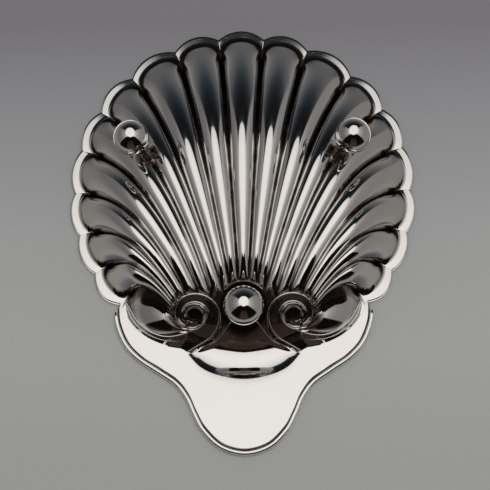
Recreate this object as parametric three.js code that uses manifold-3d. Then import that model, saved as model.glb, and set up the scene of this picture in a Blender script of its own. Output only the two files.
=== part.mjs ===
// A scallop-shell dish of plated sheet on three ball feet, in millimetres.
// +Z is up, +Y points to the fan end of the shell and the tab lies at -Y.
// The plan is drawn from the rear foot, where all flutes meet, and is moved
// at the end so that the origin lies under the middle of the whole dish.
import * as THREE from 'three';
import { mergeVertices } from 'three/addons/utils/BufferGeometryUtils.js';
import Module from 'manifold-3d';

// Heights
const sheetThickness = 1.2;
const bowlDepth = 16.5;           // rim's upper face to the lowest point under the flutes
const bowlClearance = 10;         // that lowest point to the table
const rimHeight = bowlDepth + bowlClearance;

// Rim circle: the valleys between the flutes end on it
const rimCircleRadius = 48.7;
const rimCircleForward = 39;      // its centre, in front of the rear foot
const fluteTipReach = 2.8;        // the flutes' round ends reach past the rim circle
const cuspReach = 3.85;           // notches of the outline, past the rim circle
const scallopReach = 6.5;         // crowns of the outline, past the rim circle
const frontReach = 1.5;           // tips and outline stand out further towards the front
const flangeRise = 0.56;          // the flange slopes up by this much from the flutes outwards
// Widths of the flutes as degrees of the rim circle, middle flute first
const fluteWidths = [15.8, 15.8, 18, 16.5, 15.4, 15.6, 15.3, 14.5, 13.8];

// Flutes
const wallRun = 0.52;             // share of a flute's length over which its end wall curves
const wallPower = 2.1;            // and how strongly the wall steepens towards the flange
const fluteSlope = 1.15;          // steepest cross slope, next to a valley
const dropPower = 2.5;            // how late the cross section flattens towards the flange
const hingeHold = [0.25, 0.55];   // the hinge holds the valleys back up to here along a flute
const valleyHalfWidth = [0.8, 1.9]; // rounded bottom of a valley, at the hinge and at the rim
const fluteRise = 4.4;            // crowns stand this far below the scrolls' centres there
const crownSlope = 19;            // degrees, climb of the crowns away from the hinge
const crownBlend = 2;             // crowns bend softly into that limit
// Length of a flute's rounded inner end, middle flute first
const fluteEndRuns = [5, 5, 3.5, 1.8, 1.5, 1.5, 1.5, 1.5, 1.5];
const tipSharpness = 6;           // how late along a flute its round end starts
// Valleys bow towards the front by this much, middle valley first
const valleyBows = [0.1, 0.4, 1.4, 3.3, 3.8, 3.4, 3.1, 2.8, 2.5];
const bowPeak = 0.62;             // where along a valley the bow pulls most

// Hinge of the flutes: a round recess for the rear foot, with a scroll on each side
const recessRadius = 7.6;
const recessFloor = 8.8;          // depth of the recess floor below the rim
const recessFlatShare = 0.55;     // share of the recess radius that is flat floor
const recessWallShare = 0.4;      // and share over which its wall rises
const recessEdge = 12;            // depth of the recess edge in front of the foot
const recessAngles = [13, 35, 57]; // where the first three valleys meet the recess
const throatRadius = 7;           // lattice lines cross the recess edge here
const throatAngle = 84;
const throatPitch = 4;
const armAngle = 110;             // lines of the arm, the scroll's line and the dart start here
const tailAngle = 116;
const dartAngle = 124;
const scrollAside = 15.4;         // scroll centre beside the rear foot
const scrollBehind = 2.3;         // and behind it
const scrollDepth = 8.3;          // depth of the scroll centre below the rim
const scrollSlope = 28;           // degrees, tilt of the bowl's back wall under the scroll
const neckStart = -5;             // behind this line the wall is steeper
const neckSlope = 42;             // degrees
const scrollReach = 8;            // scroll centre to its outer turn, on the foot's side
const scrollShrink = 0.5;         // each turn of the scroll is this share of the one before
const scrollStart = 240;          // degrees, where the scroll's line leaves the boss's flank
const scrollTurn = 674;           // degrees that the scroll winds
const scrollSquash = 0.85;        // the tilt shortens the scroll in plan
const scrollAngles = [138, 103, 71, 49, 29, 11]; // where the other valleys meet the scroll
const scrollEnd = -75;            // degrees, where the leaf's lower edge runs into the scroll
const lipEnd = -95;               // and where its raised line ends on the scroll's line
const scrollMargin = 1.05;        // lattice lines turn just outside the scroll's line
const ridgeRadius = 0.55;         // raised line along the scroll

// Leaf beside the last flute, and the arm under it that winds up into the scroll
const armFoot = [
  [36.8, 4.1], [36.2, 0.2], [34, -3.7], [30.6, -6.9], [26.8, -9], [23.2, -10.2],
  [19.8, -10.9], [17.5, -12.3],
];
const leafEdge = [
  [36.3, 3.4], [33.4, -1.9], [30.2, -5.3], [26.6, -7.4], [23.1, -8.1], [19.6, -7.7], [16.9, -6.9],
];
const leafTipDepth = 2.6;         // depth of the leaf's edge at its tip
const leafEndDepth = 5.2;         // and where it runs into the scroll
const leafStep = 1.1;             // the arm lies this much nearer the rim than the leaf's edge
const leafStepRun = 0.25;         // share of the arm's width under that step
const leafRun = 0.95;             // share of its width over which the leaf rounds off
const leafPower = 2.4;            // and how strongly it steepens towards its edge
const armFootShare = 0.89;        // share of the arm's foot that lies beside the leaf
const leafRows = 0.6;             // share of the rows on the leaf, then one step to the arm
const stepRows = 0.1;

// Boss in front of the tab, hollow underneath, and the dart between it and the scroll
const hollowDepth = 1.2;          // depth of the hollow, from the tab's underside
const hollowStart = 0.14;         // share of the boss's length before the hollow
const neckRun = 0.3;              // share over which the neck runs out
const bossFlank = 0.3;            // share of the boss's width over which both fade out
const bossEdge = [
  [17.3, -12.9], [13.7, -16.8], [9.4, -19.1], [4.4, -20.4], [0, -20.8],
];
const neckCorner = [9.2, -8.6];   // the neck of the boss starts here and ends on the axis
const neckMiddle = -9.5;
const dartDrop = 1.7;             // the dart is cut this deep beside the neck
const flankShare = 0.12;          // and this share of the boss's width is its side

// Tab: outer side of its border wire, from the last scallop to the middle of the end
const tabEdge = [
  [40.4, 2.6], [39.9, -3], [37.2, -9.6], [32.8, -14.5], [26.6, -18.7], [21.3, -22.4],
  [18.1, -26.6], [16, -31.3], [13, -36.7], [7.5, -41.9], [0, -43.9],
];
const wireRadius = 0.75;
const wireStart = 1.6;            // the wire starts this far behind the last scallop's notch
const solderGap = 0.3;            // between pieces that are soldered together

// Feet
const footFlatRadius = 1.2;       // worn flat under each ball
const stemRadius = 2.1;
const stemFlare = 0.9;            // the stem widens by this much where it meets the sheet
const stemFlareLength = 2.5;
const stemOverrun = 3;            // stems are made this much too long and cut to the sheet
const collarRadius = 2.6;         // the stem's end under the ball
const collarHeight = 0.8;
const frontBallRadius = 0.55 * bowlClearance;
const rearBallRadius = 0.6 * bowlClearance;
const feet = [
  { name: 'left', ball: [-33.9, 50.5], seat: [-29, 47], ballRadius: frontBallRadius },
  { name: 'right', ball: [33.9, 50.5], seat: [29, 47], ballRadius: frontBallRadius },
  { name: 'rear', ball: [0, -2.7], seat: [0, 0], ballRadius: rearBallRadius },
];

// Fineness of the faceted surface
const stepsAcrossFlute = 5;
const stepsAcrossLeaf = 8;
const stepsAcrossArm = 4;
const stepsAcrossBoss = 10;
const stepsInRecess = 2;
const stepsAcrossScroll = 3;
const stepsAlongFlute = 10;
const stepsAcrossRim = 1;
const scrollSteps = 38;
const tailSteps = 5;
const lipSteps = 10;
const ridgeSides = 5;
const wireSteps = 50;
const wireSides = 7;
const ballSides = 22;
const stemSides = 18;

const wasm = await Module();
wasm.setup();

const degrees = THREE.MathUtils.degToRad;
const mix = THREE.MathUtils.lerp;
const mixPoint = (a, b, t) => [mix(a[0], b[0], t), mix(a[1], b[1], t)];
const clampShare = (value) => Math.min(Math.max(value, 0), 1);
const smoothShare = (value) => THREE.MathUtils.smoothstep(value, 0, 1);

// A rise that starts upright and levels out, like the quarter of an ellipse.
function quarterRound(share) {
  return Math.sqrt(1 - (1 - clampShare(share)) ** 2);
}

// A rise that starts steep, but not upright, and levels out.
function pressedWall(share, power) {
  return 1 - (1 - clampShare(share)) ** power;
}

function softMin(a, b, radius) {
  const overlap = Math.max(radius - Math.abs(a - b), 0) / radius;
  return Math.min(a, b) - overlap * overlap * radius / 4;
}

function splineThrough(points) {
  return new THREE.SplineCurve(points.map(([x, y]) => new THREE.Vector2(x, y)));
}

// A curve right across the dish, through the points of its right half and their mirror image.
function splineAcross(points) {
  const mirrored = points.slice(0, -1).reverse().map(([x, y]) => [-x, y]);
  return splineThrough([...points, ...mirrored]);
}

const armFootCurve = splineThrough(armFoot);
const leafEdgeCurve = splineThrough(leafEdge);
const bossEdgeCurve = splineAcross(bossEdge);
const tabCurve = splineAcross(tabEdge);

// Angle on the rim circle of the valley after flute number index.
function valleyAngle(index) {
  let angle = fluteWidths[0] / 2;
  for (let flute = 1; flute <= index; flute += 1) {
    angle += fluteWidths[flute];
  }
  return degrees(angle);
}

function onRimCircle(angle, reach) {
  const radius = rimCircleRadius + reach;
  return [radius * Math.sin(angle), rimCircleForward + radius * Math.cos(angle)];
}

function reachAt(angle, reach) {
  return reach + frontReach * Math.max(Math.cos(angle), 0);
}

// A point of the scroll's raised line, in plan.
function scrollPoint(angle, stretch = 1) {
  const reach = stretch * scrollReach * scrollShrink ** ((180 - angle) / 360);
  const turned = degrees(angle);
  return [
    scrollAside + reach * Math.cos(turned),
    -scrollBehind + reach * scrollSquash * Math.sin(turned),
  ];
}

// Inner end of the valley after flute number index.
function valleyHinge(index) {
  if (index < recessAngles.length) {
    const angle = degrees(recessAngles[index]);
    return [recessRadius * Math.sin(angle), recessRadius * Math.cos(angle)];
  }
  return scrollPoint(scrollAngles[index - recessAngles.length], scrollMargin);
}

// A valley's path in plan, from the hinge at 0 to the rim at 1.
function valleyPath(index, along) {
  if (index < 0) {
    const [x, y] = valleyPath(-1 - index, along);
    return [-x, y];
  }
  const hinge = valleyHinge(index);
  const rim = onRimCircle(valleyAngle(index), 0);
  const length = Math.hypot(rim[0] - hinge[0], rim[1] - hinge[1]);
  const forward = [-(rim[1] - hinge[1]) / length, (rim[0] - hinge[0]) / length];
  const pull = mixPoint(hinge, rim, bowPeak);
  pull[0] += 2 * valleyBows[index] * forward[0];
  pull[1] += 2 * valleyBows[index] * forward[1];
  return mixPoint(mixPoint(hinge, pull, along), mixPoint(pull, rim, along), along);
}

// Depth below the rim of the back wall, which is steeper behind the scrolls.
function slopeDepth(y) {
  const behind = Math.min(y - neckStart, 0);
  return scrollDepth + Math.tan(degrees(scrollSlope)) * (y - behind + scrollBehind)
    + Math.tan(degrees(neckSlope)) * behind;
}

// Depth at which the flutes' crowns leave the hinge and climb away from it.
function crownDepth(y) {
  return scrollDepth + fluteRise + Math.tan(degrees(crownSlope)) * (y + scrollBehind);
}

// Depth of the underside around the rear foot, the scrolls and the neck.
function backDepth(x, y) {
  const solid = Math.max(Math.min(slopeDepth(y), recessEdge), sheetThickness);
  const fromFlat = Math.hypot(x, y) / recessRadius - recessFlatShare;
  const inRecess = 1 - smoothShare(fromFlat / recessWallShare);
  return mix(solid, Math.min(solid, recessFloor), inRecess);
}

// Depth of the underside on a flute. across runs from -1 to 1 between its two
// valleys, along from 0 at the hinge to 1 at the rim.
function fluteDepth(y, across, along, fromHinge, halfWidth, hingeDepth, endRun) {
  const foot = sheetThickness + flangeRise;
  const wall = foot + (bowlDepth - foot) * pressedWall((1 - along) / wallRun, wallPower);
  const limit = softMin(wall, crownDepth(y), crownBlend);
  const rise = (limit - hingeDepth) * quarterRound(fromHinge / endRun);
  const crown = Math.min(limit, hingeDepth + Math.max(rise, 0));
  const groove = mix(...valleyHalfWidth, along);
  const held = 1 - smoothShare((along - hingeHold[0]) / (hingeHold[1] - hingeHold[0]));
  return crown - valleyDrop(across, halfWidth, groove, crown - foot, rise, held);
}

// How far the cross section falls from the flute's crown towards its valley. There has to be
// room above the flange for it, and near the hinge it stays within the crown's rise.
function valleyDrop(across, halfWidth, groove, room, rise, held) {
  const bottom = Math.min(groove, halfWidth / 2);
  const side = halfWidth - bottom;
  const aside = Math.abs(across) * halfWidth;
  const full = fluteSlope * halfWidth / 2;
  const inRoom = full ** -dropPower + (room + 0.001) ** -dropPower;
  const limited = 1 / (inRoom ** (1 / dropPower) + held * 0.5 / (Math.max(rise, 0) + 0.001));
  const onSide = Math.min(aside, side);
  const intoBottom = aside - onSide;
  const shape = onSide ** 2 / (side * halfWidth)
    + 2 * (intoBottom - intoBottom ** 2 / (2 * bottom)) / halfWidth;
  return limited * shape;
}

// Rows crowd together towards both ends of a flute, where it curves most.
function crowded(even) {
  return even - 0.8 * Math.sin(2 * Math.PI * even) / (2 * Math.PI);
}

// Lines of the lattice start around the rear foot in this direction. Behind the third
// flute they bunch together, pass the recess edge and fan out again over the scroll.
function startAngle(index) {
  if (index < 0) {
    return -startAngle(-1 - index);
  }
  if (index < recessAngles.length) {
    return recessAngles[index];
  }
  return throatAngle + throatPitch * (index - recessAngles.length);
}

// One line of lattice points across the sheet: recess, scroll, body, and the flange or tab.
function latticeLine(angle, hinge, body, rimInner, rimOuter, dart = 0) {
  const line = [];
  const direction = [Math.sin(degrees(angle)), Math.cos(degrees(angle))];
  const seat = direction.map((value) => value * stemRadius);
  const throat = direction.map((value) => value * throatRadius);
  for (let step = 0; step < stepsInRecess; step += 1) {
    const [x, y] = mixPoint(seat, throat, step / stepsInRecess);
    line.push([x, y, backDepth(x, y)]);
  }
  for (let step = 0; step < stepsAcrossScroll; step += 1) {
    const share = step / stepsAcrossScroll;
    const [x, y] = mixPoint(throat, hinge, share);
    line.push([x, y, backDepth(x, y) - dart * smoothShare(share)]);
  }
  for (let step = 0; step <= stepsAlongFlute; step += 1) {
    line.push(body(step / stepsAlongFlute));
  }
  for (let step = 1; step <= stepsAcrossRim; step += 1) {
    const [x, y] = mixPoint(rimInner, rimOuter, step / stepsAcrossRim);
    line.push([x, y, sheetThickness]);
  }
  return line;
}

// Outline of the rim between two notches, bulging by the scallop's height.
function scallopPoint(flute, across) {
  const angle = fluteAngle(flute, across);
  const bulge = (scallopReach - cuspReach) * (1 - across * across);
  return onRimCircle(angle, reachAt(angle, cuspReach) + bulge);
}

// Direction on the rim circle of a line across a flute.
function fluteAngle(flute, across) {
  const before = flute === 0 ? -valleyAngle(0) : valleyAngle(flute - 1);
  return mix(before, valleyAngle(flute), (across + 1) / 2);
}

function fluteTip(flute, across) {
  const angle = fluteAngle(flute, across);
  return onRimCircle(angle, reachAt(angle, fluteTipReach) * Math.sqrt(1 - across * across));
}

// A point of a flute's underside.
function flutePoint(flute, across, along) {
  const share = (across + 1) / 2;
  const hinge = mixPoint(valleyPath(flute - 1, 0), valleyPath(flute, 0), share);
  const chordEnd = mixPoint(valleyPath(flute - 1, 1), valleyPath(flute, 1), share);
  const tip = fluteTip(flute, across);
  const length = Math.hypot(tip[0] - hinge[0], tip[1] - hinge[1]);
  const hingeDepth = Math.min(backDepth(...hinge), recessEdge);
  const left = valleyPath(flute - 1, along);
  const right = valleyPath(flute, along);
  const point = mixPoint(left, right, share);
  const push = along ** tipSharpness;
  point[0] += push * (tip[0] - chordEnd[0]);
  point[1] += push * (tip[1] - chordEnd[1]);
  const halfWidth = Math.hypot(right[0] - left[0], right[1] - left[1]) / 2;
  const depth = fluteDepth(point[1], across, along, along * length, halfWidth, hingeDepth,
    fluteEndRuns[flute]);
  return [...point, depth];
}

function fluteLine(flute, across) {
  const share = (across + 1) / 2;
  const hinge = mixPoint(valleyPath(flute - 1, 0), valleyPath(flute, 0), share);
  const start = mix(startAngle(flute - 1), startAngle(flute), share);
  const body = (even) => flutePoint(flute, across, crowded(even));
  return latticeLine(start, hinge, body, fluteTip(flute, across), scallopPoint(flute, across));
}

// Lines beside the last flute, over the leaf and down the arm to the tab.
function leafLine(share, rimOuter) {
  const lastFlute = fluteWidths.length - 1;
  const hinge = scrollPoint(mix(scrollAngles[scrollAngles.length - 1], scrollEnd, share), scrollMargin);
  const lip = leafEdgeCurve.getPointAt(share).toArray();
  const foot = armFootCurve.getPointAt(share * armFootShare).toArray();
  const lipDepth = mix(leafTipDepth, leafEndDepth, share);
  const besideValley = (1 - share) ** 3;
  const body = (even) => {
    const onLeaf = mix(clampShare(even / leafRows), crowded(even), besideValley);
    const onStep = clampShare((even - leafRows) / stepRows);
    const onArm = clampShare((even - leafRows - stepRows) / (1 - leafRows - stepRows));
    const [valleyX, valleyY, valleyDepth] = flutePoint(lastFlute, 1, onLeaf);
    const chord = mixPoint(valleyPath(lastFlute, 0), valleyPath(lastFlute, 1), onLeaf);
    const point = mixPoint(mixPoint(hinge, lip, onLeaf), foot, mix(onStep * leafStepRun, 1, onArm));
    point[0] += besideValley * (valleyX - chord[0]);
    point[1] += besideValley * (valleyY - chord[1]);
    const round = pressedWall((1 - onLeaf) / leafRun, leafPower);
    const leaf = mix(lipDepth, Math.max(backDepth(...point), lipDepth), round);
    const arm = mix(leaf - onStep * leafStep, sheetThickness, onArm);
    return [...point, mix(arm, valleyDepth, besideValley ** 2)];
  };
  return latticeLine(mix(startAngle(lastFlute), armAngle, share), hinge, body, foot, rimOuter);
}

// Lines under the scroll, over the widening arm, up to the scroll's line itself.
function armLine(share, rimOuter) {
  const hinge = mixPoint(scrollPoint(scrollEnd, scrollMargin), scrollPoint(scrollStart), share);
  const foot = armFootCurve.getPointAt(mix(armFootShare, 1, share)).toArray();
  const hingeDepth = backDepth(...hinge) - leafStep * (1 - share);
  const body = (even) => [
    ...mixPoint(hinge, foot, even),
    mix(hingeDepth, sheetThickness, even),
  ];
  return latticeLine(mix(armAngle, tailAngle, share), hinge, body, foot, rimOuter);
}

// Lines down the neck, through the boss's hollow and up to the tab, from the dart to the middle.
function bossLine(share, rimOuter) {
  const hinge = mixPoint(neckCorner, [0, neckMiddle], share);
  const edge = bossEdgeCurve.getPointAt(share ** 1.3 / 2).toArray();
  const dart = dartDrop * (1 - quarterRound(share / flankShare));
  const run = mix(1, neckRun, smoothShare(share / bossFlank));
  const body = (even) => {
    const neck = (backDepth(...hinge) - sheetThickness) * (1 - clampShare(even / run)) ** 2;
    const inside = clampShare((even - hollowStart) / (1 - hollowStart));
    const hollow = hollowDepth * 4 * inside * (1 - inside) * quarterRound(share / bossFlank);
    return [...mixPoint(hinge, edge, even), sheetThickness + neck - hollow - dart * (1 - even * even)];
  };
  return latticeLine(mix(dartAngle, 180, share), hinge, body, edge, rimOuter, dart);
}

// The plate ends inside the wire and its solder seam.
function plateEdge(share) {
  const point = tabCurve.getPointAt(share / 2);
  const tangent = tabCurve.getTangentAt(share / 2);
  const inset = 2 * wireRadius + solderGap;
  return [point.x + tangent.y * inset, point.y - tangent.x * inset];
}

// All lattice lines of the right half, from the middle flute round to the middle of the tab.
function halfLattice() {
  const lines = [];
  for (let flute = 0; flute < fluteWidths.length; flute += 1) {
    // The middle flute starts at its crown, the others at the valley before them.
    const start = flute === 0 ? 0 : -1;
    for (let across = start; across < 0.99; across += 2 / stepsAcrossFlute) {
      lines.push(fluteLine(flute, across));
    }
  }
  lines.push(fluteLine(fluteWidths.length - 1, 1));
  const backSteps = stepsAcrossLeaf + stepsAcrossArm + stepsAcrossBoss + 1;
  const nextOuter = () => plateEdge((lines.length - firstBack + 1) / backSteps);
  const firstBack = lines.length;
  for (let step = 1; step <= stepsAcrossLeaf; step += 1) {
    lines.push(leafLine(step / stepsAcrossLeaf, nextOuter()));
  }
  for (let step = 1; step <= stepsAcrossArm; step += 1) {
    lines.push(armLine(step / stepsAcrossArm, nextOuter()));
  }
  for (let step = 0; step <= stepsAcrossBoss; step += 1) {
    lines.push(bossLine(step / stepsAcrossBoss, nextOuter()));
  }
  return lines;
}

function fullLattice() {
  const half = halfLattice();
  const mirrored = half.slice(1, -1).reverse().map((line) => line.map(([x, y, depth]) => [-x, y, depth]));
  return [...half, ...mirrored];
}

function toVector([x, y, depth]) {
  return new THREE.Vector3(x, y, rimHeight - depth);
}

// The lattice's own surface normals, pointing into the bowl.
function latticeNormals(points) {
  const columns = points.length;
  const rows = points[0].length;
  return points.map((line, column) => line.map((point, row) => {
    const around = points[(column + 1) % columns][row].clone()
      .sub(points[(column + columns - 1) % columns][row]);
    const outward = line[Math.min(row + 1, rows - 1)].clone().sub(line[Math.max(row - 1, 0)]);
    return around.cross(outward).normalize();
  }));
}

// Closes two lattices of equal size into one solid, upper above lower.
function solidBetween(lower, upper) {
  const columns = lower.length;
  const rows = lower[0].length;
  const positions = [];
  const indices = [];
  for (const lattice of [lower, upper]) {
    for (const line of lattice) {
      for (const point of line) {
        positions.push(point.x, point.y, point.z);
      }
    }
  }
  const at = (layer, column, row) => (layer * columns + (column % columns)) * rows + row;
  for (const layer of [0, 1]) {
    const centre = positions.length / 3;
    const height = (layer === 0 ? lower : upper)[0][0].z;
    positions.push(0, 0, height);
    for (let column = 0; column < columns; column += 1) {
      const fan = [centre, at(layer, column, 0), at(layer, column + 1, 0)];
      indices.push(...(layer === 0 ? fan : fan.reverse()));
      for (let row = 0; row + 1 < rows; row += 1) {
        const a = at(layer, column, row);
        const b = at(layer, column, row + 1);
        const c = at(layer, column + 1, row + 1);
        const d = at(layer, column + 1, row);
        const faces = [a, b, c, a, c, d];
        indices.push(...(layer === 0 ? faces : faces.reverse()));
      }
    }
  }
  for (let column = 0; column < columns; column += 1) {
    const a = at(0, column, rows - 1);
    const b = at(0, column + 1, rows - 1);
    const c = at(1, column + 1, rows - 1);
    const d = at(1, column, rows - 1);
    indices.push(a, c, b, a, d, c);
  }
  const geometry = new THREE.BufferGeometry();
  geometry.setAttribute('position', new THREE.Float32BufferAttribute(positions, 3));
  geometry.setIndex(indices);
  return geometry;
}

function toManifold(geometry) {
  const bare = geometry.clone();
  bare.deleteAttribute('normal');
  bare.deleteAttribute('uv');
  const merged = mergeVertices(bare, 0.0001);
  const mesh = new wasm.Mesh({
    numProp: 3,
    vertProperties: new Float32Array(merged.attributes.position.array),
    triVerts: new Uint32Array(merged.index.array),
  });
  return new wasm.Manifold(mesh);
}

function fromManifold(solid) {
  const mesh = solid.getMesh();
  const geometry = new THREE.BufferGeometry();
  geometry.setAttribute('position', new THREE.BufferAttribute(new Float32Array(mesh.vertProperties), 3));
  geometry.setIndex(new THREE.BufferAttribute(new Uint32Array(mesh.triVerts), 1));
  geometry.computeVertexNormals();
  return geometry;
}

function roundBar(points, radius, sides, steps) {
  const path = new THREE.CatmullRomCurve3(points);
  const section = new THREE.Shape();
  for (let side = 0; side < sides; side += 1) {
    const angle = (2 * Math.PI * side) / sides;
    section[side === 0 ? 'moveTo' : 'lineTo'](radius * Math.cos(angle), radius * Math.sin(angle));
  }
  return new THREE.ExtrudeGeometry(section, { steps, bevelEnabled: false, extrudePath: path });
}

// The raised line that rises from the tab beside the boss and winds up the scroll.
function scrollRidge(side) {
  const foot = armFoot[armFoot.length - 1];
  const flat = [];
  for (let step = 0; step < tailSteps; step += 1) {
    const along = (step + 0.5) / tailSteps;
    const [x, y] = mixPoint(foot, scrollPoint(scrollStart), along);
    flat.push([x, y, mix(sheetThickness, backDepth(...scrollPoint(scrollStart)), along)]);
  }
  for (let step = 0; step <= scrollSteps; step += 1) {
    const [x, y] = scrollPoint(scrollStart - (scrollTurn * step) / scrollSteps);
    flat.push([x, y, backDepth(x, y)]);
  }
  const points = flat.map(([x, y, depth]) => toVector([side * x, y, depth + ridgeRadius / 2]));
  return roundBar(points, ridgeRadius, ridgeSides, flat.length - 1);
}

// The raised lower edge of the leaf, which runs into the scroll's line.
function lipRidge(side) {
  const flat = leafEdgeCurve.getSpacedPoints(lipSteps).map(({ x, y }, step) => (
    [x, y, mix(leafTipDepth, leafEndDepth, step / lipSteps)]
  ));
  const [x, y] = scrollPoint(lipEnd);
  flat.push([x, y, backDepth(x, y)]);
  const points = flat.map(([aside, back, depth]) => toVector([side * aside, back, depth]));
  return roundBar(points, ridgeRadius, ridgeSides, lipSteps + 1);
}

const lowerLattice = fullLattice().map((line) => line.map(toVector));
const normals = latticeNormals(lowerLattice);

function shellDish() {
  const upper = lowerLattice.map((line, column) => line.map((point, row) => {
    const onRim = row >= line.length - stepsAcrossRim - 1;
    const lift = onRim ? new THREE.Vector3(0, 0, 1) : normals[column][row];
    return point.clone().addScaledVector(lift, sheetThickness);
  }));
  let solid = toManifold(solidBetween(lowerLattice, upper));
  for (const side of [1, -1]) {
    solid = solid.add(toManifold(scrollRidge(side)));
    solid = solid.add(toManifold(lipRidge(side)));
  }
  return fromManifold(solid);
}

// Everything above the underside, a solder seam lower: what the stems are cut to.
function sheetSeat() {
  const lowered = lowerLattice.map((line) => line.map((point) => (
    new THREE.Vector3(point.x, point.y, point.z - solderGap)
  )));
  const lid = lowered.map((line) => line.map((point) => (
    new THREE.Vector3(point.x, point.y, 2 * rimHeight)
  )));
  return toManifold(solidBetween(lowered, lid));
}

function borderWire() {
  const points = [];
  const start = wireStart / tabCurve.getLength();
  for (let step = 0; step <= wireSteps; step += 1) {
    const along = mix(start, 1 - start, step / wireSteps);
    const point = tabCurve.getPointAt(along);
    const tangent = tabCurve.getTangentAt(along);
    const x = point.x + tangent.y * wireRadius;
    const y = point.y - tangent.x * wireRadius;
    points.push(toVector([x, y, wireRadius]));
  }
  return roundBar(points, wireRadius, wireSides, wireSteps);
}

function ballGeometry(radius) {
  const flatAngle = Math.asin(footFlatRadius / radius);
  const profile = [new THREE.Vector2(0, -radius * Math.cos(flatAngle))];
  for (let step = 0; step <= ballSides / 2; step += 1) {
    const angle = mix(flatAngle, Math.PI, (2 * step) / ballSides);
    profile.push(new THREE.Vector2(radius * Math.sin(angle), -radius * Math.cos(angle)));
  }
  profile[profile.length - 1].x = 0;
  const ball = new THREE.LatheGeometry(profile, ballSides);
  ball.rotateX(Math.PI / 2);
  return fromManifold(toManifold(ball));
}

// A stem runs from its ball up to the sheet, and is cut to both with a solder seam.
function stemGeometry(foot, seat) {
  const centre = new THREE.Vector3(...foot.ball, ballHeight(foot));
  const base = new THREE.Vector3(...foot.seat, rimHeight - foot.seatDepth + stemOverrun);
  const length = base.distanceTo(centre);
  const start = foot.ballRadius - collarHeight;
  const collarEnd = foot.ballRadius + collarHeight;
  const flareStart = Math.max(length - stemOverrun - stemFlareLength, collarEnd + solderGap);
  const profile = [
    new THREE.Vector2(0, start),
    new THREE.Vector2(collarRadius, start),
    new THREE.Vector2(stemRadius, collarEnd),
    new THREE.Vector2(stemRadius, flareStart),
    new THREE.Vector2(stemRadius + stemFlare, length),
    new THREE.Vector2(0, length),
  ];
  const bar = new THREE.LatheGeometry(profile, stemSides);
  const turn = new THREE.Quaternion().setFromUnitVectors(
    new THREE.Vector3(0, 1, 0),
    base.clone().sub(centre).normalize(),
  );
  bar.applyQuaternion(turn);
  bar.translate(centre.x, centre.y, centre.z);
  const ballRoom = new THREE.SphereGeometry(foot.ballRadius + solderGap, 2 * ballSides, ballSides);
  ballRoom.translate(centre.x, centre.y, centre.z);
  return fromManifold(toManifold(bar).subtract(toManifold(ballRoom)).subtract(seat));
}

// The ball's flat touches the table at height 0.
function ballHeight(foot) {
  return Math.sqrt(foot.ballRadius ** 2 - footFlatRadius ** 2);
}

// Depth of the underside at a foot's seat, read from the nearest lattice point.
function depthAt([x, y]) {
  let nearest = null;
  for (const line of lowerLattice) {
    for (const point of line) {
      const distance = Math.hypot(point.x - x, point.y - y);
      if (nearest === null || distance < nearest.distance) {
        nearest = { distance, depth: rimHeight - point.z };
      }
    }
  }
  return nearest.depth;
}

function plated(colour, roughness) {
  return new THREE.MeshStandardMaterial({ color: colour, metalness: 1, roughness });
}

function addMesh(group, name, geometry, material, position = [0, 0, 0]) {
  const mesh = new THREE.Mesh(geometry, material);
  mesh.name = name;
  mesh.position.set(...position);
  group.add(mesh);
}

const dish = new THREE.Group();
addMesh(dish, 'shell_dish', shellDish(), plated(0xd9d6d0, 0.08));
addMesh(dish, 'tab_border_wire', borderWire(), plated(0xdedbd5, 0.08));
const seat = sheetSeat();
for (const foot of feet) {
  foot.seatDepth = depthAt(foot.seat);
  addMesh(dish, `${foot.name}_foot_ball`, ballGeometry(foot.ballRadius), plated(0xdcdad6, 0.05),
    [...foot.ball, ballHeight(foot)]);
  addMesh(dish, `${foot.name}_foot_stem`, stemGeometry(foot, seat), plated(0xc9c4ba, 0.12));
}

// The origin lies under the middle of the whole dish.
const frontEnd = rimCircleForward + rimCircleRadius + scallopReach + frontReach;
const backEnd = tabEdge[tabEdge.length - 1][1];
dish.position.y = -(frontEnd + backEnd) / 2;

const part = new THREE.Group();
part.add(dish);
export default part;
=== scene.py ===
# %% [markdown]
# # A scallop-shell dish on three ball feet
# The dish is one stamping of thin sheet brass, silver plated and polished like a mirror. The
# photograph shows it lying upside down on grey paper, so that we look at its underside and at
# the three balls that it stands on. Here it stands on its feet, as it is used, and the camera
# looks up at it from below. A mirror shows little of itself and much of what is around it, so
# this lesson has two halves: the room that the sheet reflects, and the shape of the sheet.

# %% The frame
import bmesh
import bpy
import math
from mathutils import Matrix, Vector
from mathutils.bvhtree import BVHTree


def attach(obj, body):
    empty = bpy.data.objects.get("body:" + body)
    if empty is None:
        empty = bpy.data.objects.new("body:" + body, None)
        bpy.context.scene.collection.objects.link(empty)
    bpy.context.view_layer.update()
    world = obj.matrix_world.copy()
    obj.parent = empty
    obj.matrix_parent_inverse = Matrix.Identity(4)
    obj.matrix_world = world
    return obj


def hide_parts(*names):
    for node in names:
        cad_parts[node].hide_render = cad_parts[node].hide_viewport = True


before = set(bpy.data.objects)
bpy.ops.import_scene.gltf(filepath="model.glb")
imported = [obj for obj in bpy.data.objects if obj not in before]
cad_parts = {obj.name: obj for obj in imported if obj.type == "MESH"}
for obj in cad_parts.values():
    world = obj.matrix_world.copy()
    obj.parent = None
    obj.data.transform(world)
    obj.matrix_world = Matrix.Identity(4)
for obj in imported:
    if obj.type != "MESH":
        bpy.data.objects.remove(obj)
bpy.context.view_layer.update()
MM = 0.001
print("solid parts:", sorted(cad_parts))

# %% [markdown]
# ## Camera
# The camera hangs under the dish, a little towards the tab, and looks up. The picture's right
# is the dish's -X and its top is +Y. A long lens from 41 cm keeps the scallops nearly round.

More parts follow.
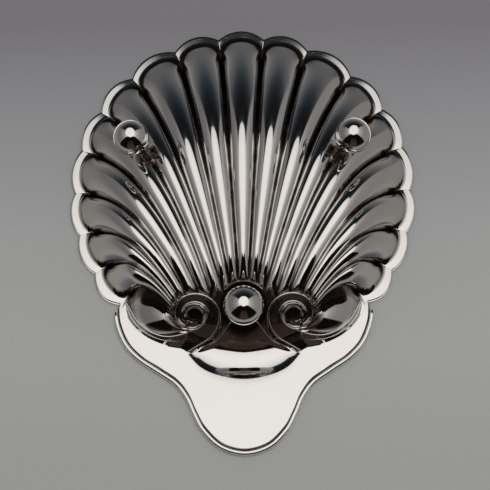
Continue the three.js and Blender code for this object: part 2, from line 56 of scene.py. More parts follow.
# %% Camera
FRAME_PIXELS = 490
SCALE_AT_DISH = 0.3085 * MM       # metres of the dish per pixel of the picture
CAMERA_DISTANCE = 0.412
CAMERA_TILT = math.radians(17)
CAMERA_ROLL = math.radians(-0.6)
SENSOR_WIDTH = 36

aim = Vector((-0.56, -6.1, 18.5)) * MM       # the point of the dish in the picture's middle
towards_camera = Vector((0, -math.sin(CAMERA_TILT), -math.cos(CAMERA_TILT)))
eye = aim + towards_camera * CAMERA_DISTANCE
right = Vector((-1, 0, 0))
up = towards_camera.cross(right)
turn = Matrix((right, up, towards_camera)).transposed().to_4x4()

lens = bpy.data.cameras.new("photo_lens")
lens.sensor_width = SENSOR_WIDTH
lens.lens = SENSOR_WIDTH * CAMERA_DISTANCE / (FRAME_PIXELS * SCALE_AT_DISH)
lens.clip_start = 0.01
camera = bpy.data.objects.new("photo_camera", lens)
camera.matrix_world = Matrix.Translation(eye) @ turn @ Matrix.Rotation(CAMERA_ROLL, 4, "Z")
bpy.context.scene.collection.objects.link(camera)
bpy.context.scene.camera = camera
print("camera at", [round(value, 3) for value in eye], "lens", round(lens.lens, 1), "mm")

# %% [markdown]
# ## Shader maths
# Every finish below is worked out from a few patterns. Written as nodes, even a short formula
# is long, so a small class wraps a socket and turns ordinary Python arithmetic into Math nodes.

# %% A socket that can be calculated with
class Wire:
    """One output socket of a node tree, or only the tree, with arithmetic."""

    def __init__(self, tree, socket):
        self.tree = tree
        self.socket = socket

    def node(self, kind, settings=None, values=None, output=0):
        """Adds a node of any kind and gives back one of its outputs."""
        made = self.tree.nodes.new(kind)
        for name, value in (settings or {}).items():
            if name == "ramp":
                paint_ramp(made.color_ramp, value)
            else:
                setattr(made, name, value)
        for name, value in (values or {}).items():
            if isinstance(value, Wire):
                self.tree.links.new(value.socket, made.inputs[name])
            elif value is not None:
                made.inputs[name].default_value = value
        return Wire(self.tree, made.outputs[output] if made.outputs else None)

    def output(self, name):
        """Another output of the same node."""
        return Wire(self.tree, self.socket.node.outputs[name])

    def math(self, operation, a, b=None, clamp=False):
        return self.node("ShaderNodeMath", {"operation": operation, "use_clamp": clamp}, {0: a, 1: b})

    def __add__(self, other):
        return self.math("ADD", self, other)

    def __radd__(self, other):
        return self.math("ADD", other, self)

    def __sub__(self, other):
        return self.math("SUBTRACT", self, other)

    def __rsub__(self, other):
        return self.math("SUBTRACT", other, self)

    def __mul__(self, other):
        return self.math("MULTIPLY", self, other)

    def __rmul__(self, other):
        return self.math("MULTIPLY", other, self)

    def __truediv__(self, other):
        return self.math("DIVIDE", self, other)

    def __rtruediv__(self, other):
        return self.math("DIVIDE", other, self)

    def step(self, low, high):
        """0 below low, 1 above high and smooth between them; falls if low is above high."""
        settings = {"interpolation_type": "SMOOTHSTEP"}
        if low < high:
            values = {"Value": self, "From Min": low, "From Max": high, "To Min": 0, "To Max": 1}
        else:
            values = {"Value": self, "From Min": high, "From Max": low, "To Min": 1, "To Max": 0}
        return self.node("ShaderNodeMapRange", settings, values)

    def mix(self, first, second):
        """A colour: first where this is 0, second where it is 1."""
        colours = {socket: colour if isinstance(colour, Wire) else (*colour, 1)
                   for socket, colour in ((6, first), (7, second))}
        return self.node("ShaderNodeMix", {"data_type": "RGBA"}, {0: self, **colours}, output=2)


def paint_ramp(ramp, stops):
    """Sets a colour ramp's stops from pairs of place and colour."""
    while len(ramp.elements) > 1:
        ramp.elements.remove(ramp.elements[-1])
    ramp.elements[0].position, ramp.elements[0].color = stops[0][0], (*stops[0][1], 1)
    for place, colour in stops[1:]:
        ramp.elements.new(place).color = (*colour, 1)


def from_screen(red, green, blue):
    """A colour read off a screen, 0 to 255, as the linear light that Blender works in."""
    shares = (value / 255 for value in (red, green, blue))
    return tuple(s / 12.92 if s <= 0.04045 else ((s + 0.055) / 1.055) ** 2.4 for s in shares)


print("paper grey as light:", [round(value, 3) for value in from_screen(150, 149, 149)])

# %% [markdown]
# ## The room in the mirror
# The balls of the real dish show the room like three small globes: a round white window right
# above the dish, a dark blue wall behind it, grey walls at its sides, and in front the dark
# shape of a table with something brown in its middle. Beside the dish a ring of pale paper
# closes it. A photograph of a room could be wrapped round the scene for that. It is painted
# here from the direction of the ray instead, which is sharper and needs no picture. The half
# above the dish, which no ray of the photograph reaches, is a plain studio with a soft lamp.

# %% Directions around the dish
world = bpy.data.worlds.new("room")
bpy.context.scene.world = world
world.use_nodes = True
world.node_tree.nodes.clear()
sky = Wire(world.node_tree, None)

ray = sky.node("ShaderNodeTexCoord", output="Generated")
unit_ray = ray.node("ShaderNodeVectorMath", {"operation": "NORMALIZE"}, {0: ray})
parts = ray.node("ShaderNodeSeparateXYZ", values={0: ray})
aside, ahead = parts.output("X"), parts.output("Y")


def angle_from(direction):
    """Degrees between the ray and a direction."""
    ends = {0: unit_ray, 1: Vector(direction).normalized()}
    cosine = ray.node("ShaderNodeVectorMath", {"operation": "DOT_PRODUCT"}, ends, output="Value")
    return ray.math("ARCCOSINE", cosine) * math.degrees(1)


def tilted(degrees, height):
    """A direction that many degrees from straight up or down, towards the fan end."""
    turned = math.radians(degrees)
    return (0, math.sin(turned), height * math.cos(turned))


WINDOW_TILT, WINDOW_RADIUS, WINDOW_SOFTNESS = 4, 30, 1.2
from_window = angle_from(tilted(WINDOW_TILT, -1))
from_below = angle_from((0, 0, -1))
round_about = sky.math("ABSOLUTE", sky.math("ARCTAN2", aside, ahead)) * math.degrees(1)
print("window of", 2 * WINDOW_RADIUS, "degrees under the dish")

# %% [markdown]
# The walls are ramps of colour over the angle from straight below, 0 to 180 degrees, and the
# window is one over the angle from its own middle. The walls' borders run straight away from
# the point below the dish, as the corners of the room do.

# %% Colours of the walls and the window
def ramp_over(angle, stops):
    """Colours over an angle, from pairs of degrees and screen colour."""
    ramp = [(degrees / 180, from_screen(*colour)) for degrees, colour in stops]
    return sky.node("ShaderNodeValToRGB", {"ramp": ramp}, {0: angle / 180})


PAPER_RING = [(104, (126, 122, 118)), (122, (140, 136, 132))]


def wall(stops):
    """A wall that ends on the ring of paper."""
    return ramp_over(from_below, stops + PAPER_RING)


back_wall = wall([(31, (60, 64, 65)), (34, (46, 50, 51)), (37, (32, 35, 36)), (41, (22, 24, 25)),
                  (48, (18, 20, 22)), (56, (23, 25, 28)), (64, (31, 35, 39)), (74, (47, 52, 56)),
                  (84, (76, 79, 82)), (94, (99, 97, 98))])
left_wall = wall([(30, (168, 164, 164)), (44, (136, 133, 133)), (66, (106, 103, 103)),
                  (90, (102, 99, 99))])
right_wall = wall([(30, (186, 183, 182)), (44, (156, 153, 152)), (66, (128, 125, 123)),
                   (90, (122, 119, 117))])
table_edge = wall([(30, (10, 6, 5)), (92, (14, 9, 7)), (100, (70, 64, 58))])
table_middle = wall([(36, (12, 7, 5)), (54, (46, 34, 29)), (84, (60, 47, 41)), (94, (46, 36, 31)),
                     (101, (80, 72, 64))])
window = ramp_over(from_window, [(0, (241, 238, 234)), (14, (236, 232, 229)), (22, (226, 223, 219)),
                                 (30, (206, 206, 202))])

# %% The room put together
SIDE_START, SIDE_END, BROWN_START = 48, 118, 161     # degrees round from the fan end
CORNER_SOFTNESS, TABLE_SOFTNESS = 4, 1
MIDDLE_SOFTNESS = 0.02
TABLE_TOP = 19                    # degrees from below at which the table starts to hide the window


def past(angle, limit, softness):
    """0 up to an angle and 1 past it."""
    return angle.step(limit - softness, limit + softness)


sides = past(aside, 0, MIDDLE_SOFTNESS).mix(right_wall, left_wall)
room = past(round_about, SIDE_START, CORNER_SOFTNESS).mix(back_wall, sides)
room = past(round_about, SIDE_END, TABLE_SOFTNESS).mix(room, table_edge)
room = past(round_about, BROWN_START, CORNER_SOFTNESS).mix(room, table_middle)
in_window = from_window.step(WINDOW_RADIUS + WINDOW_SOFTNESS, WINDOW_RADIUS - WINDOW_SOFTNESS)
behind_table = past(round_about, SIDE_END + 6, 2) * past(from_below, TABLE_TOP, TABLE_SOFTNESS)
room = (in_window * (1 - behind_table)).mix(room, window)
print("room nodes:", len(world.node_tree.nodes))

# %% The studio above
LAMP_TILT = 24
STUDIO_BORDER, STUDIO_SOFTNESS = 120, 4
from_lamp = angle_from(tilted(LAMP_TILT, 1))
studio = sky.node("ShaderNodeValToRGB", {"ramp": [
    (0.0, (0.95, 0.95, 0.94)), (0.20, (0.90, 0.90, 0.89)), (0.25, (0.16, 0.17, 0.18)),
    (0.36, (0.07, 0.075, 0.085)), (0.50, (0.30, 0.295, 0.29)), (0.56, (0.24, 0.235, 0.23)),
]}, {0: from_lamp / 180})
room = past(from_below, STUDIO_BORDER, STUDIO_SOFTNESS).mix(room, studio)
print("studio lamp", LAMP_TILT, "degrees from straight above")

# %% [markdown]
# The camera itself sees a plain pale background, and matt surfaces are lit by an even light, so
# that a grey paper looks as grey as it is painted. Only rays from the mirror see the room.

# %% What each kind of ray sees
EVEN_LIGHT = (0.52, 0.52, 0.53)
PALE_BACKGROUND = (0.80, 0.80, 0.80)
rays = sky.node("ShaderNodeLightPath")
mirror_ray = sky.math("MAXIMUM", rays.output("Is Glossy Ray"), rays.output("Is Transmission Ray"))
seen = mirror_ray.mix(EVEN_LIGHT, room)
seen = rays.output("Is Camera Ray").mix(seen, PALE_BACKGROUND)
background = sky.node("ShaderNodeBackground", values={"Color": seen, "Strength": 1.0})
sky.node("ShaderNodeOutputWorld", values={"Surface": background})
print("world nodes:", len(world.node_tree.nodes))

# %% [markdown]
# ## Paper and table
# The photograph's grey paper lies against the rim, above the dish as it stands here. A second,
# pale sheet lies under the feet for the views from above. Each is a single face that can be
# seen from one side only, and neither shows in the mirror, where the painted room stands for
# them, nor shades the other.

# %% The two papers' materials
def new_material(name):
    """An empty material and a pen to draw its nodes with."""
    material = bpy.data.materials.new(name)
    material.use_nodes = True
    material.node_tree.nodes.clear()
    return material, Wire(material.node_tree, None)


def clouds(place_of, scale, detail):
    """A cloudy pattern of numbers round a half."""
    values = {"Vector": place_of, "Scale": scale, "Detail": detail}
    return place_of.node("ShaderNodeTexNoise", values=values)


PAPER_LENGTH = 0.17               # metres of paper over which its greys and its painted fall of light run
MOTTLE, MOTTLE_GREY = 0.05, (0.12, 0.12, 0.12)
# Painted shade: the paper's greys fall off towards the top of the picture, as the light does.
PAPER_GREYS_AND_PAINTED_FALLOFF = [(0.07, (147, 148, 144)), (0.29, (151, 151, 147)), (0.51, (146, 146, 145)),
               (0.73, (132, 131, 132)), (0.93, (112, 110, 113))]


def photo_paper(place_of):
    """Grey paper with painted shade, darker towards the top of the picture, and a faint mottle."""
    height = place_of.node("ShaderNodeSeparateXYZ", values={0: place_of}).output("Y")
    greys = [(share, from_screen(*colour)) for share, colour in PAPER_GREYS_AND_PAINTED_FALLOFF]
    grey = place_of.node("ShaderNodeValToRGB", {"ramp": greys}, {0: height / PAPER_LENGTH + 0.5})
    return (clouds(place_of, 900.0, 3.0).step(0.3, 0.7) * MOTTLE).mix(grey, MOTTLE_GREY)


def table_paper(place_of):
    return clouds(place_of, 60.0, 3.0).step(0.2, 0.8).mix((0.66, 0.66, 0.65), (0.70, 0.70, 0.69))


def one_sided(name, colour_of):
    """A matt material on the front of its faces that lets light and looks through the back."""
    material, pen = new_material(name)
    place_of = pen.node("ShaderNodeTexCoord", output="Object")
    paper = pen.node("ShaderNodeBsdfDiffuse", values={"Color": colour_of(place_of)})
    clear = pen.node("ShaderNodeBsdfTransparent")
    away = pen.node("ShaderNodeNewGeometry", output="Backfacing")
    both = pen.node("ShaderNodeMixShader", values={0: away, 1: paper, 2: clear})
    pen.node("ShaderNodeOutputMaterial", values={"Surface": both})
    return material


grey_paper, pale_paper = one_sided("grey_paper", photo_paper), one_sided("pale_paper", table_paper)
print("papers:", grey_paper.name, pale_paper.name)

# %% The papers
RIM_HEIGHT = 26.5                 # the upper face of the flat rim over the table
PAPER_GAP = 0.4


def object_from(bm, name, material):
    """Turns a finished bmesh into an object with one material."""
    mesh = bpy.data.meshes.new(name)
    bm.to_mesh(mesh)
    bm.free()
    mesh.materials.append(material)
    made = bpy.data.objects.new(name, mesh)
    bpy.context.scene.collection.objects.link(made)
    return made


def floor(name, half_width, height, facing, material):
    """A square sheet of paper that faces up at 1 and down at -1."""
    bm = bmesh.new()
    bmesh.ops.create_grid(bm, x_segments=1, y_segments=1, size=half_width)
    bmesh.ops.translate(bm, verts=bm.verts, vec=(0, 0, height))
    if facing < 0:
        bmesh.ops.reverse_faces(bm, faces=bm.faces)
    paper = object_from(bm, name, material)
    for kind in ("visible_glossy", "visible_diffuse", "visible_shadow", "visible_transmission"):
        setattr(paper, kind, False)


floor("photo_paper", 0.6, (RIM_HEIGHT + PAPER_GAP) * MM, -1, grey_paper)
floor("table_paper", 3.0, 0, 1, pale_paper)
print("grey paper at", RIM_HEIGHT + PAPER_GAP, "mm, pale paper on the table")

# %% [markdown]
# ## Lamps
# Two wide soft lamps light the papers, one from each side. They are kept out of the mirror,
# because their light is already in the painted room.

# %% Soft lamps
def soft_lamp(name, place, target, size, power):
    light = bpy.data.lights.new(name, "AREA")
    light.shape = "DISK"
    light.size = size
    light.energy = power
    lamp = bpy.data.objects.new(name, light)
    look = (Vector(target) - Vector(place)).to_track_quat("-Z", "Y")
    lamp.matrix_world = Matrix.Translation(place) @ look.to_matrix().to_4x4()
    lamp.visible_glossy = False
    bpy.context.scene.collection.objects.link(lamp)
    print(name, power, "W")


soft_lamp("window_light", (-0.1, 0.12, -0.9), (0, 0, 0.02), 0.55, 5.5)
soft_lamp("studio_light", (0.25, -0.35, 1.0), (0, 0, 0.0), 0.6, 6.5)

# %% [markdown]
# ## The plan of the stamping
# All measures are in millimetres, in the plan that the stamping was drawn in: the rear foot is
# the origin, y runs towards the fan, and depth is counted from the upper face of the flat rim
# down to the underside. A few helpers come first: blends, a soft minimum that rounds the
# meeting of two slopes, a quarter of a circle, and smooth lines through points.

# %% Blends
def mix(a, b, share):
    return a + (b - a) * share


def mix_point(a, b, share):
    return (mix(a[0], b[0], share), mix(a[1], b[1], share))


def share_of(value):
    return min(max(value, 0.0), 1.0)


def smooth(value):
    value = share_of(value)
    return value * value * (3 - 2 * value)


def rising(value, start, run):
    """0 up to start, 1 from start + run on, and smooth between them."""
    return smooth((value - start) / run)


def falling(value, start, run):
    return 1 - rising(value, start, run)


def quarter_round(share):
    return math.sqrt(1 - (1 - share_of(share)) ** 2)


def soft_min(a, b, radius):
    overlap = max(radius - abs(a - b), 0) / radius
    return min(a, b) - overlap * overlap * radius / 4


print("halfway up a quarter round:", round(quarter_round(0.5), 2))

# %% Smooth lines through points
LINE_STEPS = 400
NEARBY = 0.0005                   # share of a line over which its direction is taken


class Line:
    """A smooth line through points of the plan, measured by its length from 0 to 1."""

    def __init__(self, points, across=False):
        mirrored = [(-x, y) for x, y in reversed(points[:-1])] if across else []
        self.points = [Vector(point) for point in (*points, *mirrored)]
        self.lengths = [0.0]
        before = self.raw(0)
        for step in range(1, LINE_STEPS + 1):
            here = self.raw(step / LINE_STEPS)
            self.lengths.append(self.lengths[-1] + (here - before).length)
            before = here

    def raw(self, share):
        """A point by its share of the spans, which are cubics with matching slopes."""
        last = len(self.points) - 1
        place = share_of(share) * last
        index = min(int(place), last - 1)
        t = place - index
        p0, p1 = self.points[max(index - 1, 0)], self.points[index]
        p2, p3 = self.points[index + 1], self.points[min(index + 2, last)]
        v1, v2 = (p2 - p0) / 2, (p3 - p1) / 2
        return ((2 * p1 - 2 * p2 + v1 + v2) * t ** 3 + (-3 * p1 + 3 * p2 - 2 * v1 - v2) * t ** 2
                + v1 * t + p1)

    def at(self, share):
        target = share_of(share) * self.lengths[-1]
        low, high = 0, LINE_STEPS
        while high - low > 1:
            middle = (low + high) // 2
            low, high = (middle, high) if self.lengths[middle] < target else (low, middle)
        span = self.lengths[high] - self.lengths[low] or 1.0
        return self.raw((low + (target - self.lengths[low]) / span) / LINE_STEPS)

    def tangent(self, share):
        return (self.at(share + NEARBY) - self.at(share - NEARBY)).normalized()


leaf_edge = Line(((36.3, 3.4), (33.4, -1.9), (30.2, -5.3), (26.6, -7.4), (23.1, -8.1), (19.6, -7.7),
                  (16.9, -6.9)))
ARM_END = (17.5, -12.3)
arm_foot = Line(((36.8, 4.1), (36.2, 0.2), (34, -3.7), (30.6, -6.9), (26.8, -9), (23.2, -10.2),
                 (19.8, -10.9), ARM_END))
boss_edge = Line(((17.3, -12.9), (13.7, -16.8), (9.4, -19.1), (4.4, -20.4), (0, -20.8)), across=True)
tab_edge = Line(((40.4, 2.6), (39.9, -3), (37.2, -9.6), (32.8, -14.5), (26.6, -18.7), (21.3, -22.4),
                 (18.1, -26.6), (16, -31.3), (13, -36.7), (7.5, -41.9), (0, -43.9)), across=True)
print("border wire", round(tab_edge.lengths[-1]), "mm long")

# %% [markdown]
# ## The fan in plan
# Eighteen narrow grooves run from the hinge to the rim, one on each side of every flute. The six
# in the middle start round the recess of the rear foot, the others at the two scrolls, and all
# bow a little towards the front. A scroll shrinks to half its reach with every turn, as a snail
# shell does.

# %% The rim
RIM_RADIUS, RIM_FORWARD, FRONT_REACH = 48.7, 39.0, 1.5
FLUTE_WIDTHS = (15.8, 15.8, 18, 16.5, 15.4, 15.6, 15.3, 14.5, 13.8)      # degrees of the rim's circle
LAST = len(FLUTE_WIDTHS) - 1


def valley_angle(index):
    return math.radians(FLUTE_WIDTHS[0] / 2 + sum(FLUTE_WIDTHS[1:index + 1]))


def on_rim_circle(angle, reach):
    radius = RIM_RADIUS + reach
    return (radius * math.sin(angle), RIM_FORWARD + radius * math.cos(angle))


def reach_at(angle, reach):
    return reach + FRONT_REACH * max(math.cos(angle), 0)


print("flutes across the fan:", 2 * LAST + 1)

# %% The scroll and the hinge
SCROLL_ASIDE, SCROLL_BEHIND = 15.4, 2.3
SCROLL_REACH, SCROLL_SHRINK, SCROLL_SQUASH = 8.0, 0.5, 0.85
SCROLL_MARGIN = 1.05
SCROLL_ANGLES = (138, 103, 71, 49, 29, 11)
RECESS_RADIUS = 7.6
RECESS_ANGLES = (13, 35, 57)


def scroll_reach(angle):
    return SCROLL_REACH * SCROLL_SHRINK ** ((180 - angle) / 360)


def scroll_point(angle, stretch=1.0):
    reach, turned = stretch * scroll_reach(angle), math.radians(angle)
    return (SCROLL_ASIDE + reach * math.cos(turned),
            -SCROLL_BEHIND + reach * SCROLL_SQUASH * math.sin(turned))


def valley_hinge(index):
    if index < len(RECESS_ANGLES):
        angle = math.radians(RECESS_ANGLES[index])
        return (RECESS_RADIUS * math.sin(angle), RECESS_RADIUS * math.cos(angle))
    return scroll_point(SCROLL_ANGLES[index - len(RECESS_ANGLES)], SCROLL_MARGIN)


print("last groove starts at", [round(value, 1) for value in valley_hinge(LAST)])

# %% The grooves
VALLEY_BOWS = (0.1, 0.4, 1.4, 3.3, 3.8, 3.4, 3.1, 2.8, 2.5)
BOW_PEAK = 0.62


def valley_path(index, along):
    """A groove's path from the hinge at 0 to the rim at 1, bowed towards the front."""
    if index < 0:
        x, y = valley_path(-1 - index, along)
        return (-x, y)
    hinge, rim = valley_hinge(index), on_rim_circle(valley_angle(index), 0)
    length = math.dist(rim, hinge)
    bow = 2 * VALLEY_BOWS[index] / length
    pull = mix_point(hinge, rim, BOW_PEAK)
    pull = (pull[0] - bow * (rim[1] - hinge[1]), pull[1] + bow * (rim[0] - hinge[0]))
    return mix_point(mix_point(hinge, pull, along), mix_point(pull, rim, along), along)


print("last groove ends at", [round(value, 1) for value in valley_path(LAST, 1)])

# %% [markdown]
# ## Depth of the stamping
# Seen from below each flute is a long pillow. Its two sides fall into narrow grooves, its far
# end stands up as a round wall from the flat rim, and its near end starts at the recess of the
# rear foot or at a scroll. A flute could be cut by hand from a subdivided plane, but seventeen
# of them must meet in clean grooves, so one formula gives the depth anywhere on the sheet. The
# back wall, which carries the scrolls and the recess, comes first.

# %% Back wall and recess
THICK = 1.2
SCROLL_DEPTH, SCROLL_SLOPE = 8.3, math.tan(math.radians(28))
NECK_START, NECK_SLOPE = -5.0, math.tan(math.radians(42))
RECESS_FLOOR, RECESS_EDGE = 8.8, 12.0
RECESS_FLAT, RECESS_WALL = 0.55, 0.4       # shares of the recess's radius


def slope_depth(y):
    """Depth of the back wall, which falls faster behind the scrolls than in front of them."""
    behind = min(y - NECK_START, 0)
    return SCROLL_DEPTH + SCROLL_SLOPE * (y - behind + SCROLL_BEHIND) + NECK_SLOPE * behind


def back_depth(x, y):
    solid = max(min(slope_depth(y), RECESS_EDGE), THICK)
    in_recess = falling(math.hypot(x, y) / RECESS_RADIUS, RECESS_FLAT, RECESS_WALL)
    return mix(solid, min(solid, RECESS_FLOOR), in_recess)


print("recess", round(back_depth(0, 0), 1), "mm deep, scroll", round(back_depth(SCROLL_ASIDE, 0), 1))

# %% [markdown]
# Across a flute the sheet falls from its crown to the grooves. Near the hinge it is a crest
# with steep sides, and further out a broad pillow that turns down only close to the groove.
# At both ends the crown comes down to what is around it, so there is less room to fall, and the
# drop is held back.

# %% A flute's cross section
FLUTE_SLOPE, DROP_POWER = 1.3, 2.5
CREST_POWERS, CREST_RUN = (2, 2.45), 0.4
PILLOW_ARCH, PILLOW_FOLD, PILLOW_GAP = 0.85, 0.35, 0.22
PILLOW_START, PILLOW_RUN = 0.4, 0.4
HINGE_HOLD, HOLD_START, HOLD_RUN = 0.5, 0.25, 0.3
NOT_ZERO = 0.001


def valley_drop(across, half_width, groove, room, rise, along):
    """How far the cross section falls from a flute's crown towards its groove."""
    full = FLUTE_SLOPE * half_width / 2
    held_back = (full ** -DROP_POWER + (room + NOT_ZERO) ** -DROP_POWER) ** (1 / DROP_POWER)
    near_hinge = falling(along, HOLD_START, HOLD_RUN)
    limited = 1 / (held_back + near_hinge * HINGE_HOLD / (max(rise, 0) + NOT_ZERO))
    bottom = min(groove, half_width / 2)
    side = half_width - bottom
    off_crown = abs(across) * half_width
    on_side = min(off_crown, side)
    into = off_crown - on_side
    power = mix(*CREST_POWERS, rising(along, 0, CREST_RUN))
    crest = 2 / power * (on_side / side) ** power * side
    fold = (crest + 2 * (into - into ** 2 / (2 * bottom))) / half_width
    pillow = PILLOW_ARCH * across ** 2 + PILLOW_FOLD * rising(abs(across), 1 - PILLOW_GAP, PILLOW_GAP)
    return limited * mix(fold, pillow, rising(along, PILLOW_START, PILLOW_RUN))


print("drop halfway along:", round(valley_drop(1, 7, 1, 12, 4, 0.5), 1), "mm")

# %% A flute's crown
BOWL_DEPTH = 16.5
TIP_REACH, TIP_SHARPNESS = 2.8, 6
WALL_RUN, WALL_POWER = 0.52, 2.1
FLANGE_RISE, FOOT_FILLET = 0.3, 0.26
FLUTE_END_RUN = (10.0, 9.0, 6.0, 2.5, 1.5, 1.5, 1.5, 1.5, 1.5)      # from the hinge to full height
FLUTE_RISE, CROWN_SLOPE, CROWN_BLEND = 2.8, math.tan(math.radians(18)), 2.0
VALLEY_HALF_WIDTH = (0.28, 1.15)           # at the hinge and at the rim


def crown_depth(y):
    """Depth of the flutes' crowns above the back wall, which they climb more gently than it."""
    return SCROLL_DEPTH + FLUTE_RISE + CROWN_SLOPE * (y + SCROLL_BEHIND)


def flute_angle(flute, across):
    before = -valley_angle(0) if flute == 0 else valley_angle(flute - 1)
    return mix(before, valley_angle(flute), (across + 1) / 2)


def flute_tip(flute, across):
    angle = flute_angle(flute, across)
    return on_rim_circle(angle, reach_at(angle, TIP_REACH) * math.sqrt(max(1 - across ** 2, 0)))


def flute_point(flute, across, along):
    """x, y and depth on a flute, from -1 to 1 across it and from 0 to 1 along it."""
    share = (across + 1) / 2
    hinge = mix_point(valley_path(flute - 1, 0), valley_path(flute, 0), share)
    chord_end = mix_point(valley_path(flute - 1, 1), valley_path(flute, 1), share)
    tip = flute_tip(flute, across)
    before, after = valley_path(flute - 1, along), valley_path(flute, along)
    x, y = mix_point(before, after, share)
    push = along ** TIP_SHARPNESS
    x += push * (tip[0] - chord_end[0])
    y += push * (tip[1] - chord_end[1])
    foot = THICK + FLANGE_RISE + FOOT_FILLET
    wall_share = 1 - (1 - share_of((1 - along) / WALL_RUN)) ** WALL_POWER
    crown = soft_min(foot + (BOWL_DEPTH - foot) * wall_share, crown_depth(y), CROWN_BLEND)
    hinge_depth = min(back_depth(*hinge), RECESS_EDGE)
    rise = (crown - hinge_depth) * quarter_round(along * math.dist(tip, hinge) / FLUTE_END_RUN[flute])
    crown = min(crown, hinge_depth + max(rise, 0))
    groove = mix(*VALLEY_HALF_WIDTH, along ** 2)
    half_width = math.dist(before, after) / 2
    return (x, y, crown - valley_drop(across, half_width, groove, crown - foot, rise, along))


print("middle flute, halfway:", [round(value, 1) for value in flute_point(0, 0, 0.5)])

# %% [markdown]
# The scroll is a rolled band: between two turns of its raised line the sheet is dished like a
# gutter, and it sinks to a dark hollow in the middle, the eye.

# %% Relief of the scroll
SCROLL_START, OPENING_RUN = 240, 60        # degrees where the outer turn starts, and its opening
CHANNEL_DEPTH, CHANNEL_SHALLOW, CHANNEL_TURNS = 0.6, 3.5, 1.9
EYE_DEPTH, EYE_START, EYE_RUN = 1.5, 1.0, 1.1       # the last two in turns
SMALLEST_REACH = 0.05


def eye_depth(turns):
    return EYE_DEPTH * rising(turns, EYE_START, EYE_RUN)


def scroll_relief(x, y):
    """How far the scroll's gutters lie above the slope of the back wall."""
    off_x, off_y = abs(x) - SCROLL_ASIDE, (y + SCROLL_BEHIND) / SCROLL_SQUASH
    reach = max(math.hypot(off_x, off_y), SMALLEST_REACH)
    angle = math.degrees(math.atan2(off_y, off_x))
    if angle < SCROLL_START - 360:
        angle += 360
    turns = math.log(scroll_reach(angle) / reach) / math.log(1 / SCROLL_SHRINK)
    if turns <= 0:
        return 0.0
    opening = smooth((SCROLL_START - angle) / OPENING_RUN) if turns < 1 else 1.0
    gutter = math.sin(math.pi * min(turns, CHANNEL_TURNS)) ** 2 * CHANNEL_DEPTH
    return opening * gutter * min(1, reach / CHANNEL_SHALLOW) + eye_depth(turns)


print("hollow of the scroll:", round(scroll_relief(SCROLL_ASIDE, -SCROLL_BEHIND), 2), "mm")

# %% [markdown]
# ## Columns of the sheet
# The right half of the sheet is one grid. A column runs from the rear foot outwards to the
# edge, and the columns sweep round from the middle flute past the scroll and the boss to the
# middle of the tab. Each column knows where it starts, where it turns at the hinge and how it
# crosses the body of the dish. Columns crowd at the grooves, where the sheet bends most.

# %% What a column knows
THROAT_ANGLE, THROAT_PITCH = 84, 4
CROWDING = 0.8
SIDE_LINE_WEIGHT = 0.4                  # weight of the grooves' dark lines at the sides, as a share of the middle's


def crowded(even):
    """Even steps from 0 to 1, drawn together at both ends."""
    return even - CROWDING * math.sin(2 * math.pi * even) / (2 * math.pi)


def start_angle(index):
    if index < 0:
        return -start_angle(-1 - index)
    if index < len(RECESS_ANGLES):
        return RECESS_ANGLES[index]
    return THROAT_ANGLE + THROAT_PITCH * (index - len(RECESS_ANGLES))


def new_column(zone, angle, hinge, body, inner, outer, **more):
    """Its zone, its course, and how much of a groove, dart and flange it crosses."""
    return {"zone": zone, "angle": angle, "hinge": hinge, "body": body, "inner": inner,
            "outer": outer, "groove": 0.0, "dart": 0.0, "flange": 0.0, "dirt": SIDE_LINE_WEIGHT, **more}


print("grooves start at", [start_angle(index) for index in range(LAST + 1)], "degrees")

# %% A column over a flute
CUSP_REACH, SCALLOP_REACH = 3.85, 6.5
SIDE_CUSP_GAIN, SIDE_TIP_LOSS = 0.75, 0.4
SIDE_FROM, SIDE_TO = (40, 40), (112, 20)   # degrees round the rim, and over how many more
LINES_THIN_OVER = (1, 4)                           # from the second flute on, over four flutes
WORN_NEAR_RECESS, WORN_NEAR_SCROLL = 0.12, 0.03      # shares of a flute with tarnish at its hinge


def flute_column(flute, across):
    angle = flute_angle(flute, across)
    turned = math.degrees(angle)
    sideways = rising(turned, *SIDE_FROM) * falling(turned, *SIDE_TO)
    cusp = CUSP_REACH + SIDE_CUSP_GAIN * sideways
    bulge = (SCALLOP_REACH - SIDE_TIP_LOSS * sideways - cusp) * (1 - across * across)
    return new_column(
        "flute",
        angle=mix(start_angle(flute - 1), start_angle(flute), (across + 1) / 2),
        hinge=mix_point(valley_path(flute - 1, 0), valley_path(flute, 0), (across + 1) / 2),
        body=lambda even: flute_point(flute, across, crowded(even)),
        inner=flute_tip(flute, across),
        outer=on_rim_circle(angle, reach_at(angle, cusp) + bulge),
        groove=(1 - abs(across)) * math.radians(FLUTE_WIDTHS[flute]) * RIM_RADIUS / 2,
        length=math.dist(flute_tip(flute, across), valley_path(flute, 0)),
        worn=WORN_NEAR_RECESS if flute < len(RECESS_ANGLES) - 1 else WORN_NEAR_SCROLL,
        dirt=mix(1, SIDE_LINE_WEIGHT, rising(flute, *LINES_THIN_OVER)),
        flange=1.0,
    )


print("middle scallop reaches", [round(value, 1) for value in flute_column(0, 0)["outer"]])

# %% [markdown]
# Beside each scroll lies a leaf, a hollow of the bowl that shows from below as a long swelling.
# Its upper side follows the last groove, and its lower edge is a raised lip, with one small
# step to the arm. The arm is the sheet's slope from the lip and the scroll to the tab, and it
# ends in a point beside the boss.

